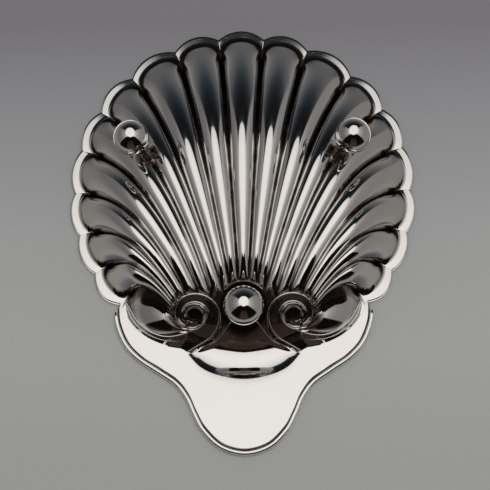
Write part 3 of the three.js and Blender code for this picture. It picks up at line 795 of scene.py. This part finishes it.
# %% Columns over the leaf and the arm
LEAF_TIP_DEPTH, LEAF_END_DEPTH = 2.6, 5.2
LEAF_STEP, LEAF_STEP_RUN, LEAF_RUN, LEAF_POWER = 1.1, 0.25, 0.85, 2.1
LEAF_FLOOR, LEAF_FLOOR_RUN, LEAF_BELLY = (9.3, 7.5), 0.2, 0.25
LEAF_ROWS, STEP_ROWS = 0.6, 0.1            # shares of a column's body
VALLEY_COURSE, VALLEY_DEPTH = 3, 4         # how soon a leaf column leaves the groove's form
ARM_FOOT_SHARE, ARM_ANGLE, TAIL_ANGLE = 0.89, 110, 116
SCROLL_END = -75


def lip_depth(share):
    return mix(LEAF_TIP_DEPTH, LEAF_END_DEPTH, share)


def leaf_column(share, outer):
    hinge = scroll_point(mix(SCROLL_ANGLES[-1], SCROLL_END, share), SCROLL_MARGIN)
    lip, foot = tuple(leaf_edge.at(share)), tuple(arm_foot.at(share * ARM_FOOT_SHARE))
    beside_valley = (1 - share) ** VALLEY_COURSE

    def body(even):
        on_leaf = mix(share_of(even / LEAF_ROWS), crowded(even), beside_valley)
        on_step = share_of((even - LEAF_ROWS) / STEP_ROWS)
        on_arm = share_of((even - LEAF_ROWS - STEP_ROWS) / (1 - LEAF_ROWS - STEP_ROWS))
        valley_x, valley_y, valley_depth = flute_point(LAST, 1, on_leaf)
        chord = mix_point(valley_path(LAST, 0), valley_path(LAST, 1), on_leaf)
        x, y = mix_point(mix_point(hinge, lip, on_leaf), foot, mix(on_step * LEAF_STEP_RUN, 1, on_arm))
        x += beside_valley * (valley_x - chord[0])
        y += beside_valley * (valley_y - chord[1])
        rounding = 1 - (1 - share_of((1 - on_leaf) / LEAF_RUN)) ** LEAF_POWER
        deep = mix(back_depth(*hinge), mix(*LEAF_FLOOR, share), rising(on_leaf, 0, LEAF_FLOOR_RUN))
        leaf = mix(lip_depth(share), max(deep, lip_depth(share)), rounding)
        leaf += LEAF_BELLY * math.sin(math.pi * on_leaf) * math.sin(math.pi * share)
        arm = mix(leaf - on_step * LEAF_STEP, THICK, on_arm)
        return (x, y, mix(arm, valley_depth, beside_valley ** VALLEY_DEPTH))

    return new_column("leaf", mix(start_angle(LAST), ARM_ANGLE, share), hinge, body, foot, outer,
                      groove=share, flange=(1 - share) ** 2)


def arm_column(share, outer):
    hinge = mix_point(scroll_point(SCROLL_END, SCROLL_MARGIN), scroll_point(SCROLL_START), share)
    foot = tuple(arm_foot.at(mix(ARM_FOOT_SHARE, 1, share)))
    hinge_depth = back_depth(*hinge) - LEAF_STEP * (1 - share)

    def body(even):
        return (*mix_point(hinge, foot, even), mix(hinge_depth, THICK, even))

    return new_column("arm", mix(ARM_ANGLE, TAIL_ANGLE, share), hinge, body, foot, outer)


print("leaf", LEAF_FLOOR, "mm deep, its lip", lip_depth(0), "to", lip_depth(1))

# %% [markdown]
# The boss is the shield between the scrolls. From the neck behind the rear foot the sheet sinks
# to a flat hollow, which shows as a white crescent over a dark line, and comes up to the tab. A
# dart, a sharp little crease, parts it from the arm.

# %% A column over the boss
HOLLOW_DEPTH, HOLLOW_START, NECK_RUN = 0.92, 0.14, 0.25
NECK_CORNER, NECK_MIDDLE = (9.2, -8.6), (0, -9.5)
DART_ANGLE, DART_DROP, DART_WIDTH = 124, 1.7, 0.12
FLANK_WIDTH, BOSS_CROWDING = 0.3, 1.3


def boss_column(share, outer):
    """From the neck down into the hollow of the boss and up its far wall to the tab."""
    hinge = mix_point(NECK_CORNER, NECK_MIDDLE, share)
    edge = tuple(boss_edge.at(share ** BOSS_CROWDING / 2))
    dart = DART_DROP * (1 - quarter_round(share / DART_WIDTH))
    neck_run = mix(1, NECK_RUN, rising(share, 0, FLANK_WIDTH))

    def body(even):
        x, y = mix_point(hinge, edge, even)
        neck = (back_depth(*hinge) - THICK) * (1 - share_of(even / neck_run)) ** 2
        inside = share_of((even - HOLLOW_START) / (1 - HOLLOW_START))
        hollow = HOLLOW_DEPTH * 4 * inside * (1 - inside) * quarter_round(share / FLANK_WIDTH)
        return (x, y, THICK + neck - hollow - dart * (1 - even) * (1 + even))

    return new_column("boss", mix(DART_ANGLE, 180, share), hinge, body, edge, outer, dart=dart)


print("boss hollow", HOLLOW_DEPTH, "mm, dart", DART_DROP, "mm")

# %% All columns of the right half
WIRE_RADIUS, SOLDER_LAP = 0.75, 0.05
ACROSS_FLUTE, ACROSS_LEAF, ACROSS_ARM, ACROSS_BOSS = 18, 24, 12, 36
BACK_COLUMNS = ACROSS_LEAF + ACROSS_ARM + ACROSS_BOSS + 1
GROOVE_CROWDING = 1.7


def plate_edge(column):
    """The edge of the tab's plate, which ends under the border wire."""
    share = column / BACK_COLUMNS
    point, tangent = tab_edge.at(share / 2), tab_edge.tangent(share / 2)
    inset = 2 * WIRE_RADIUS - SOLDER_LAP
    return (point.x + tangent.y * inset, point.y - tangent.x * inset)


def crowd_to_grooves(step):
    """From -1 to 1 across a flute, with most columns near both grooves."""
    even = 2 * step / ACROSS_FLUTE - 1
    return math.copysign(1 - (1 - abs(even)) ** GROOVE_CROWDING, even)


columns = [flute_column(0, crowd_to_grooves(step)) for step in range(ACROSS_FLUTE // 2, ACROSS_FLUTE)]
for flute in range(1, LAST + 1):
    columns += [flute_column(flute, crowd_to_grooves(step)) for step in range(ACROSS_FLUTE)]
columns.append(flute_column(LAST, 1.0))
back = [(leaf_column, step / ACROSS_LEAF) for step in range(1, ACROSS_LEAF + 1)]
back += [(arm_column, step / ACROSS_ARM) for step in range(1, ACROSS_ARM + 1)]
back += [(boss_column, step / ACROSS_BOSS) for step in range(ACROSS_BOSS + 1)]
columns += [make(share, plate_edge(index)) for index, (make, share) in enumerate(back, start=1)]
print("columns in the right half:", len(columns))

# %% [markdown]
# ## Tarnish and painted shade
# With each point goes a number from 0 to 1 that says how much tarnish is left there, because
# the polishing cloth never reached into grooves, scrolls and the recess. Below the leaf's lip
# the same number holds painted shade. On a flute it is darkest along the grooves and round the
# tip, with a thin film on the flanks. It could be painted on a picture, but a number at each
# vertex follows the shape exactly.

# %% Tarnish on the body of the dish
TIP_CORNER = 4.6                  # radius in mm of the dark line's turn round a flute's tip
GROOVE_NARROWING = 0.25           # a groove's width at the hinge, as a share of that at the rim
SIDE_TIP_DRAWBACK = 0.85                  # mm by which the dark line draws back at the tips of the side flutes
GROOVE_LINE, GROOVE_FADE = (0.4, 0.65), 0.4
GROOVE_TARNISH, GROOVE_DARKER = 0.9, (0.6, 0.25)
FILM_TARNISH, FILM_LINE, FILM_FADE = 0.62, 0.5, 1.3
# Tarnish at the flutes' hinge ends, and the strength of the painted shade below the leaf's lip.
HINGE_TARNISH_AND_LIP_SHADE = 0.7


def flute_tarnish(column, even):
    beside = column["groove"] * mix(GROOVE_NARROWING, 1, even)
    before_tip = column["length"] * (1 - crowded(even)) + SIDE_TIP_DRAWBACK * (1 - column["dirt"])
    off_side, off_tip = max(TIP_CORNER - beside, 0), max(TIP_CORNER - before_tip, 0)
    inset = TIP_CORNER - math.hypot(off_side, off_tip)
    in_groove = falling(inset, mix(*GROOVE_LINE, even ** 2) * column["dirt"], GROOVE_FADE)
    in_groove *= mix(GROOVE_TARNISH, 1, rising(even, *GROOVE_DARKER))
    film = FILM_TARNISH * falling(inset, FILM_LINE, FILM_FADE)
    return max(in_groove, film, HINGE_TARNISH_AND_LIP_SHADE * falling(even, 0, column["worn"]))


LEAF_GROOVE, LEAF_INNER_END, LEAF_INNER_START = 0.12, (0.16, 0.2), (0.12, 0.2)
LEAF_TARNISH, LIP_SHADE_END = 0.85, 8
ARM_TARNISH, ARM_FADE = (0.9, 0.15), 1.2
NECK_TARNISH, NECK_FADE = 0.55, 0.25


def body_tarnish_and_shade(column, even):
    if column["zone"] == "flute":
        return flute_tarnish(column, even)
    if column["zone"] == "leaf":
        # Painted shade: the arm below the leaf's lip is darkened as if the lip shaded it, fading out near
        # the tab.
        shade_below_lip = HINGE_TARNISH_AND_LIP_SHADE * rising(even, LEAF_ROWS, STEP_ROWS) * (1 - even ** LIP_SHADE_END)
        by_groove = falling(column["groove"], 0, LEAF_GROOVE)
        by_scroll = falling(even, *LEAF_INNER_END) * rising(column["groove"], *LEAF_INNER_START)
        return max(shade_below_lip, by_groove, LEAF_TARNISH * by_scroll)
    if column["zone"] == "arm":
        return mix(*ARM_TARNISH, smooth(even * ARM_FADE))
    in_dart = column["dart"] / DART_DROP * (1 - even)
    return max(in_dart, NECK_TARNISH * falling(even, 0, NECK_FADE))


print("tarnish in a groove:", round(body_tarnish_and_shade(flute_column(0, 1.0), 0.5), 2))

# %% [markdown]
# ## Rows of the sheet
# The rows of a column go over the floor of the recess, over the scroll, along the body and
# across the flat rim, which rises a little to the foot of the fan and is rounded at its edge.

# %% The flat rim
FILLET_RUN, FILLET_POWER = 0.34, 2.5
EDGE_DROP, EDGE_START, EDGE_RUN = 0.12, 0.9, 0.1


def flange_relief(share):
    """The flange from the foot of the fan outwards: a fillet, a slope and a rounded edge."""
    fillet = FOOT_FILLET * (1 - share_of(share / FILLET_RUN)) ** FILLET_POWER
    edge = EDGE_DROP * share_of((share - EDGE_START) / EDGE_RUN) ** 2
    return fillet + FLANGE_RISE * (1 - share) - edge


print("rim rises", FLANGE_RISE + FOOT_FILLET, "mm to the fan")

# %% Rows of a column
RECESS_ROWS, SCROLL_ROWS, BODY_ROWS, RIM_ROWS = 8, 30, 48, 14
ROWS = RECESS_ROWS + SCROLL_ROWS + BODY_ROWS + RIM_ROWS
THROAT_RADIUS = 7.0
FRONT_SEAT = (29.0, 47.0)         # where a front foot is soldered on
SEAT_TARNISH, SEAT_FADE = 0.85, (2.8, 1.6)
RECESS_TARNISH, RECESS_FADE = (0.95, 0.62), (0.8, 0.5)
EYE_TARNISH = (0.6, 0.6)          # relief at which the eye's tarnish starts, and its run
RIM_LINE, RIM_LINE_FULL = (0.05, 0.4), 0.15
SEAM_TARNISH = (0.3, 0.45)        # mm beside the border wire's solder, and its fade


def rim_tarnish(column, share):
    """A dark line at the foot of the fan, and another beside the border wire."""
    line = mix(*RIM_LINE, (column["dirt"] - SIDE_LINE_WEIGHT) / (1 - SIDE_LINE_WEIGHT))
    at_foot = falling(share, RIM_LINE_FULL * line, (1 - RIM_LINE_FULL) * line) * column["flange"]
    if column["zone"] == "flute":
        return at_foot
    to_wire = (1 - share) * math.dist(column["inner"], column["outer"])
    return max(at_foot, falling(to_wire, *SEAM_TARNISH))


def column_point(column, row):
    """x, y, depth and tarnish of one grid point, with painted shade below the leaf's lip."""
    turned = math.radians(column["angle"])
    throat = (THROAT_RADIUS * math.sin(turned), THROAT_RADIUS * math.cos(turned))
    if row <= RECESS_ROWS:
        x, y = mix_point((0, 0), throat, row / RECESS_ROWS)
        return (x, y, back_depth(x, y), 1.0)
    row -= RECESS_ROWS
    if row <= SCROLL_ROWS:
        share = row / SCROLL_ROWS
        x, y = mix_point(throat, column["hinge"], share)
        relief = scroll_relief(x, y)
        tarnish = mix(*RECESS_TARNISH, rising(math.hypot(x, y) / RECESS_RADIUS, *RECESS_FADE))
        depth = back_depth(x, y) - column["dart"] * smooth(share) - relief
        return (x, y, depth, max(tarnish, rising(relief, *EYE_TARNISH)))
    row -= SCROLL_ROWS
    if row <= BODY_ROWS:
        x, y, depth = column["body"](row / BODY_ROWS)
        by_stem = SEAT_TARNISH * falling(math.dist((x, y), FRONT_SEAT), *SEAT_FADE)
        return (x, y, depth, max(body_tarnish_and_shade(column, row / BODY_ROWS), by_stem))
    share = (row - BODY_ROWS) / RIM_ROWS
    if column["zone"] != "flute":
        share = 1 - (1 - share) ** 2
    x, y = mix_point(column["inner"], column["outer"], share)
    return (x, y, THICK + flange_relief(share) * column["flange"], rim_tarnish(column, share))


print("rows:", ROWS)

# %% [markdown]
# ## The sheet
# The grid is made flat by one operator and each vertex is moved to its place. Only the pole
# under the rear foot is merged. The left half is mirrored, and then the faces are copied along
# their normals, upwards into the bowl, which gives the metal its thickness. Solidify would do
# that too, but this way the upper face can be wiped clean and its tight folds relaxed.

# %% Pressing the sheet
PLAN_SHIFT = -25.9                # the rear foot lies this far behind the dish's middle
POLE_MERGE = 0.00002


def place(x, y, depth):
    """A point of the plan as a place in the frame, in metres."""
    return Vector((x, y + PLAN_SHIFT, RIM_HEIGHT - depth)) * MM


def press_sheet():
    bm = bmesh.new()
    bmesh.ops.create_grid(bm, x_segments=len(columns) - 1, y_segments=ROWS, size=0.5)
    tarnish = bm.verts.layers.float.new("tarnish")
    for vert in bm.verts:
        column = columns[round((vert.co.x + 0.5) * (len(columns) - 1))]
        row = round((vert.co.y + 0.5) * ROWS)
        x, y, depth, darkening = column_point(column, row)
        vert.co = place(x, y, depth)
        vert[tarnish] = darkening
    bmesh.ops.remove_doubles(bm, verts=bm.verts, dist=POLE_MERGE * MM)
    return bm


sheet = press_sheet()
print("right half:", len(sheet.verts), "vertices", len(sheet.faces), "faces")

# %% The left half
ON_MIDDLE, MIDDLE_MERGE = 0.002, 0.004

for vert in sheet.verts:
    if abs(vert.co.x) < ON_MIDDLE * MM:
        vert.co.x = 0
bmesh.ops.mirror(sheet, geom=sheet.verts[:] + sheet.edges[:] + sheet.faces[:], axis="X",
                 merge_dist=MIDDLE_MERGE * MM)
bmesh.ops.recalc_face_normals(sheet, faces=sheet.faces)
lowest = min(sheet.faces, key=lambda face: face.calc_center_median().z)
if lowest.normal.z > 0:
    bmesh.ops.reverse_faces(sheet, faces=sheet.faces)
below = BVHTree.FromBMesh(sheet)
print("both halves:", len(sheet.faces), "faces")

# %% Thickness
UPPER_TARNISH_AND_SHADE = 0.3               # what wiping leaves on the face that is used, of the tarnish and the painted shade
STRAIGHT_UP = Vector((0, 0, 1))
NO_LENGTH = 1e-9


def give_thickness(bm, thickness):
    """Copies the sheet's underside upwards along its normals and closes the edge.

    Extruding turns the old faces round, to close a wall that would grow downwards. This one
    grows upwards, so all its faces are reversed to point out of the metal.
    """
    copied = bmesh.ops.extrude_face_region(bm, geom=bm.faces[:], use_keep_orig=True)["geom"]
    upper = [item for item in copied if isinstance(item, bmesh.types.BMVert)]
    bmesh.ops.reverse_faces(bm, faces=bm.faces)
    bm.normal_update()
    border = {vert for vert in upper if any(len(edge.link_faces) == 2 and edge.calc_length() < NO_LENGTH
                                            for edge in vert.link_edges)}
    tarnish = bm.verts.layers.float["tarnish"]
    for vert in upper:
        vert.co += (STRAIGHT_UP if vert in border else vert.normal) * thickness
        vert[tarnish] *= UPPER_TARNISH_AND_SHADE
    inner = [vert for vert in upper if vert not in border]
    for repeat in range(2):
        bmesh.ops.smooth_vert(bm, verts=inner, factor=0.5, use_axis_x=True, use_axis_y=True,
                              use_axis_z=True)


give_thickness(sheet, THICK * MM)
print("sheet:", len(sheet.faces), "faces, height from", round(min(v.co.z for v in sheet.verts) / MM, 2),
      "to", round(max(v.co.z for v in sheet.verts) / MM, 2))

# %% [markdown]
# ## Raised lines
# The scroll, the lip of the leaf, the arm and the neck have thin raised lines. On the stamping
# they are pressed too, but bars that are half sunk in the sheet come out crisper than any grid
# would. A bar is swept ring by ring along its path, from a circle that one operator makes.

# %% Bars swept along a line
def bead(turned, squareness):
    """A point of the bar's section: round at 2, with flatter sides above it."""
    a, b = math.cos(turned), math.sin(turned)
    reach = (abs(a) ** squareness + abs(b) ** squareness) ** (-1 / squareness)
    return (a * reach, b * reach)


def sweep(path, radii, sides=10, squareness=2.0):
    """A closed bar along a path, made ring by ring from a circle, and its last ring."""
    bm = bmesh.new()
    ring = bmesh.ops.create_circle(bm, cap_ends=True, segments=sides, radius=1.0)["verts"]
    ring.sort(key=lambda vert: math.atan2(vert.co.y, vert.co.x) % (2 * math.pi))
    shape = [bead(2 * math.pi * k / sides, squareness) for k in range(sides)]
    for index, point in enumerate(path):
        along = (path[min(index + 1, len(path) - 1)] - path[max(index - 1, 0)]).normalized()
        across = along.cross(STRAIGHT_UP).normalized()
        lift = across.cross(along)
        if index:
            edges = [bm.edges.get((ring[k], ring[(k + 1) % sides])) for k in range(sides)]
            grown = bmesh.ops.extrude_edge_only(bm, edges=edges)["geom"]
            fresh = {vert for vert in grown if isinstance(vert, bmesh.types.BMVert)}
            ring = [next(edge.other_vert(old) for edge in old.link_edges if edge.other_vert(old) in fresh)
                    for old in ring]
        for vert, (a, b) in zip(ring, shape):
            vert.co = point + (across * a + lift * b) * radii[index]
    bmesh.ops.contextual_create(bm, geom=ring)
    bmesh.ops.recalc_face_normals(bm, faces=bm.faces)
    return bm, ring


def add_piece(bm, other):
    """Adds a finished bmesh to another as an island of its own."""
    carrier = bpy.data.meshes.new("carrier")
    other.to_mesh(carrier)
    other.free()
    bm.from_mesh(carrier)
    bpy.data.meshes.remove(carrier)


print("corner of a squarer bar at", [round(value, 2) for value in bead(math.pi / 4, 2.7)])

# %% The scroll's line
RIDGE_RADIUS = 0.42
SCROLL_TURN = 674                 # degrees from the outer end to the eye
SCROLL_STEPS, TAIL_STEPS = 180, 10
TAIL_THINNING, EYE_THINNING = 0.7, 0.5


def scroll_line(side):
    """From the boss along the tail and round the scroll into its eye."""
    path, radii = [], []
    start = scroll_point(SCROLL_START)
    for step in range(TAIL_STEPS):
        along = (step + 0.3) / TAIL_STEPS
        x, y = mix_point(ARM_END, start, along)
        path.append(place(side * x, y, mix(THICK, back_depth(*start), along)))
        radii.append(RIDGE_RADIUS * mix(TAIL_THINNING, 1, along) * MM)
    for step in range(SCROLL_STEPS + 1):
        turned = step / SCROLL_STEPS
        x, y = scroll_point(SCROLL_START - SCROLL_TURN * turned)
        path.append(place(side * x, y, back_depth(x, y) - eye_depth(turned * SCROLL_TURN / 360)))
        radii.append(RIDGE_RADIUS * mix(1, EYE_THINNING, turned) * MM)
    return path, radii


print("scroll line of", TAIL_STEPS + SCROLL_STEPS + 1, "rings")

# %% The lines of the leaf, the arm and the neck
LIP_STEPS, LIP_END, LIP_SUNK = 40, -95, 0.1
LIP_THINNING, LIP_TAPER = (0.55, 0.9), 12  # from the tip on, over twelve rings
ARM_LINE_RADIUS, ARM_LINE_ASIDE, ARM_LINE_HEIGHT = 0.3, 0.55, 0.6
ARM_LINE_END, ARM_LINE_TAPER = 1.02, 0.4
NECK_LINE = Line(((3.5, -4), (4.7, -5.3), (6.6, -7.5), (8.6, -9.4), (10.8, -10.3)))
NECK_LINE_RADIUS, NECK_STEPS = 0.22, 24


def lip_line(side):
    path = []
    for step in range(LIP_STEPS + 1):
        x, y = leaf_edge.at(step / LIP_STEPS)
        path.append(place(side * x, y, lip_depth(step / LIP_STEPS) - LIP_SUNK))
    x, y = scroll_point(LIP_END)
    path.append(place(side * x, y, back_depth(x, y)))
    return path, [RIDGE_RADIUS * MM * mix(*LIP_THINNING, share_of(step / LIP_TAPER))
                  for step in range(len(path))]


def arm_line(side):
    """A thin line halfway down the arm, which runs out towards the scroll's tail."""
    path, radii = [], []
    for step in range(LIP_STEPS + 1):
        share = step / LIP_STEPS
        lip, foot = tuple(leaf_edge.at(share)), tuple(arm_foot.at(share * ARM_FOOT_SHARE))
        x, y = mix_point(lip, foot, ARM_LINE_ASIDE)
        path.append(place(side * x, y, mix(THICK, lip_depth(share) - LEAF_STEP, ARM_LINE_HEIGHT)))
        radii.append(ARM_LINE_RADIUS * MM * smooth((ARM_LINE_END - share) / ARM_LINE_TAPER))
    return path, radii


def neck_line(side):
    points = [NECK_LINE.at(step / NECK_STEPS) for step in range(NECK_STEPS + 1)]
    path = [place(side * x, y, back_depth(x, y)) for x, y in points]
    return path, [NECK_LINE_RADIUS * MM] * len(path)


for side in (1, -1):
    for line in (neck_line, scroll_line, lip_line, arm_line):
        add_piece(sheet, sweep(*line(side))[0])
print("with its raised lines:", sum(len(face.verts) - 2 for face in sheet.faces), "triangles")

# %% [markdown]
# ## Silver plate
# Polished silver is a mirror with a warm white tint. What makes it look old is what polishing
# leaves: brown-black tarnish in every groove, hair-fine scratches that cross each other, small
# dents, and a faint haze. A flat metal shader would show none of that, so the number of each
# vertex, tarnish with painted shade below the leaf's lip, darkens and roughens the mirror, and
# two stretched noises scratch it.

# %% The plated finish
SILVER = (0.93, 0.92, 0.905)
TARNISH_AND_SHADE_BROWN = (0.17, 0.115, 0.085)
DEEP_TARNISH_AND_SHADE = (0.035, 0.024, 0.02)
BROWN_FILM, DEEP_FILM = (0.35, 0.95), (0.74, 1.02)       # tarnish and painted shade at which each starts and is full
BROWN_ROUGHNESS, DEEP_ROUGHNESS, HAIR_ROUGHNESS, HAZE_ROUGHNESS = 0.22, 0.15, 0.10, 0.03
HAIR_STRETCH, HAIR_SHARE = 22, (0.66, 0.72)
HAIR_HEIGHT, GRIT_HEIGHT, DENT_HEIGHT = -0.0006, 0.004, 0.07


def fine_scratches(place_of, turn_by, scale):
    """Thin lines in one direction: a noise that is stretched far along it."""
    scales = (scale, scale * HAIR_STRETCH, scale * HAIR_STRETCH)
    mapping = {"Vector": place_of, "Rotation": (0, 0, turn_by), "Scale": scales}
    stretched = place_of.node("ShaderNodeMapping", values=mapping)
    return clouds(stretched, 1.0, 2.0).step(*HAIR_SHARE)


def plated(name, dullness=0.0, has_tarnish_and_shade=False, roughness=0.035, patchiness=1.0):
    """Silver plate, with the tarnish and painted shade of its vertices or the same dullness all over."""
    material, pen = new_material(name)
    place_of = pen.node("ShaderNodeTexCoord", output="Object")
    cloud, fine = clouds(place_of, 160.0, 4.0), clouds(place_of, 1500.0, 3.0)
    if has_tarnish_and_shade:
        dullness = pen.node("ShaderNodeAttribute", {"attribute_name": "tarnish"}, output="Fac")
    uneven = pen.math("ADD", dullness, (cloud - 0.5) * (0.5 * patchiness), clamp=True)
    brown = uneven.step(*BROWN_FILM)
    deep = (uneven + (fine - 0.5) * (0.3 * patchiness)).step(*DEEP_FILM)
    # The brown and near-black films paint tarnish, and painted shade below the leaf's lip and on the
    # stems.
    colour = deep.mix(brown.mix(SILVER, TARNISH_AND_SHADE_BROWN), DEEP_TARNISH_AND_SHADE)
    scratches = pen.math("MAXIMUM", fine_scratches(place_of, 0.4, 260.0),
                         fine_scratches(place_of, -0.9, 200.0))
    haze = cloud.step(0.45, 0.8) * HAZE_ROUGHNESS
    rough = (brown * BROWN_ROUGHNESS + deep * DEEP_ROUGHNESS + scratches * HAIR_ROUGHNESS
             + (haze + roughness))
    dents = clouds(place_of, 95.0, 1.0)
    relief = scratches * HAIR_HEIGHT + fine * (brown * GRIT_HEIGHT) + dents * DENT_HEIGHT
    bump = pen.node("ShaderNodeBump", values={"Height": relief, "Strength": 0.35, "Distance": 0.001})
    metal = pen.node("ShaderNodeBsdfPrincipled", values={
        "Base Color": colour, "Metallic": 1.0, "Roughness": rough, "Normal": bump,
    })
    pen.node("ShaderNodeOutputMaterial", values={"Surface": metal})
    return material


sheet_silver = plated("silver_sheet", has_tarnish_and_shade=True)
wire_silver = plated("silver_wire", dullness=0.1)
ball_silver = plated("silver_ball", roughness=0.03)
# The stems are dark all over: tarnish, and painted shade between the ball and the sheet.
stem_silver_tarnish_and_shade = plated("silver_stem_tarnish_and_shade", dullness=0.76, roughness=0.04, patchiness=0.3)
print("finishes:", [material.name for material in (sheet_silver, wire_silver, ball_silver, stem_silver_tarnish_and_shade)])

# %% The shell as a piece
SHARP_BEND = math.radians(48)


def finish_piece(bm, name, node, material):
    """Smooth shading with crisp bends, and its place in the model."""
    for face in bm.faces:
        face.smooth = True
    piece = object_from(bm, name, material)
    piece.data.set_sharp_from_angle(angle=SHARP_BEND)
    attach(piece, "root")
    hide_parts(node)
    return piece


shell = finish_piece(sheet, "fluted_shell", "shell_dish", sheet_silver)
print("shell:", len(shell.data.vertices), "vertices")

# %% [markdown]
# ## Border wire
# A round wire is soldered along the edge of the tab. It is a bar swept along the tab's outline,
# like the raised lines, but with more sides, because the mirror shows every facet. Its ends
# are drawn in a little, as a filed end is.

# %% Wire along the tab
WIRE_STEPS, WIRE_SIDES, WIRE_SQUARENESS = 260, 28, 2.7
WIRE_START = 1.6                  # mm of the tab's outline that are left free at each end
FILED_SHARE, FILED_RINGS = 0.55, 4


def tab_wire():
    start = WIRE_START / tab_edge.lengths[-1]
    path, radii = [], []
    for step in range(WIRE_STEPS + 1):
        along = mix(start, 1 - start, step / WIRE_STEPS)
        point, tangent = tab_edge.at(along), tab_edge.tangent(along)
        x, y = point.x + tangent.y * WIRE_RADIUS, point.y - tangent.x * WIRE_RADIUS
        path.append(place(x, y, WIRE_RADIUS))
        filed = mix(FILED_SHARE, 1, smooth(min(step, WIRE_STEPS - step) / FILED_RINGS))
        radii.append(WIRE_RADIUS * MM * filed)
    return sweep(path, radii, WIRE_SIDES, WIRE_SQUARENESS)[0]


wire = finish_piece(tab_wire(), "border_wire", "tab_border_wire", wire_silver)
print("wire:", len(wire.data.vertices), "vertices")

# %% [markdown]
# ## Ball feet
# Each foot is a polished ball on a short stem that is soldered to the sheet. A ball is a fine
# sphere with a small worn flat where it touches the table. Its stem is swept from rings of
# changing width: a collar that cups the ball, a neck, and a flare of solder whose last ring is
# laid on the sheet.

# %% Balls
FOOT_FLAT = 1.2                   # radius in mm of the worn flat
FEET = (                          # name, ball and seat in plan, radius
    ("left", (-33.9, 50.5), (-FRONT_SEAT[0], FRONT_SEAT[1]), 5.5),
    ("right", (33.9, 50.5), FRONT_SEAT, 5.5),
    ("rear", (0.0, -2.7), (0.0, 0.0), 6.0),
)


def foot_ball(centre, radius):
    bm = bmesh.new()
    bmesh.ops.create_uvsphere(bm, u_segments=96, v_segments=64, radius=radius * MM)
    bmesh.ops.translate(bm, verts=bm.verts, vec=centre)
    for vert in bm.verts:
        vert.co.z = max(vert.co.z, 0)
    return bm


print("balls of", [2 * radius for _, _, _, radius in FEET], "mm")

# %% Stems
STEM_STEPS, STEM_SIDES = 28, 48
COLLAR = ((-0.9, 2.3), (-0.1, 2.75), (0.5, 2.5), (1.2, 2.1))       # mm past the ball, radius
FLARE = ((-1.6, 2.3), (-0.6, 2.9), (0.3, 3.6))                     # mm past the sheet, radius
SOLDER_OVERLAP = 0.25


def foot_stem(centre, radius, seat):
    """Rings from the ball to the sheet, the last one laid on the sheet's underside."""
    hit = below.ray_cast(Vector((seat[0], seat[1] + PLAN_SHIFT, 0)) * MM, STRAIGHT_UP)[0]
    axis = hit - centre
    length = axis.length / MM
    profile = Line([(radius + past_ball, wide) for past_ball, wide in COLLAR]
                   + [(length + past_sheet, wide) for past_sheet, wide in FLARE])
    rings = [tuple(profile.at(step / STEM_STEPS)) for step in range(STEM_STEPS + 1)]
    path = [centre + axis.normalized() * reach * MM for reach, wide in rings]
    bm, foot = sweep(path, [wide * MM for reach, wide in rings], sides=STEM_SIDES)
    for vert in foot:
        on_sheet = below.ray_cast(Vector((vert.co.x, vert.co.y, 0)), STRAIGHT_UP)[0]
        if on_sheet is not None:
            vert.co.z = on_sheet.z + SOLDER_OVERLAP * MM
    bmesh.ops.recalc_face_normals(bm, faces=bm.faces)
    return bm


for name, ball_at, seat, radius in FEET:
    height = math.sqrt(radius ** 2 - FOOT_FLAT ** 2)
    centre = Vector((ball_at[0], ball_at[1] + PLAN_SHIFT, height)) * MM
    finish_piece(foot_ball(centre, radius), f"{name}_ball", f"{name}_foot_ball",
                 ball_silver)
    stem = finish_piece(foot_stem(centre, radius, seat), f"{name}_stem", f"{name}_foot_stem",
                        stem_silver_tarnish_and_shade)
    print(name, "foot: stem of", len(stem.data.vertices), "vertices")

# %% [markdown]
# ## Colours
# The render shows its colours through Blender's standard view transform.

bpy.context.scene.view_settings.view_transform = "Standard"
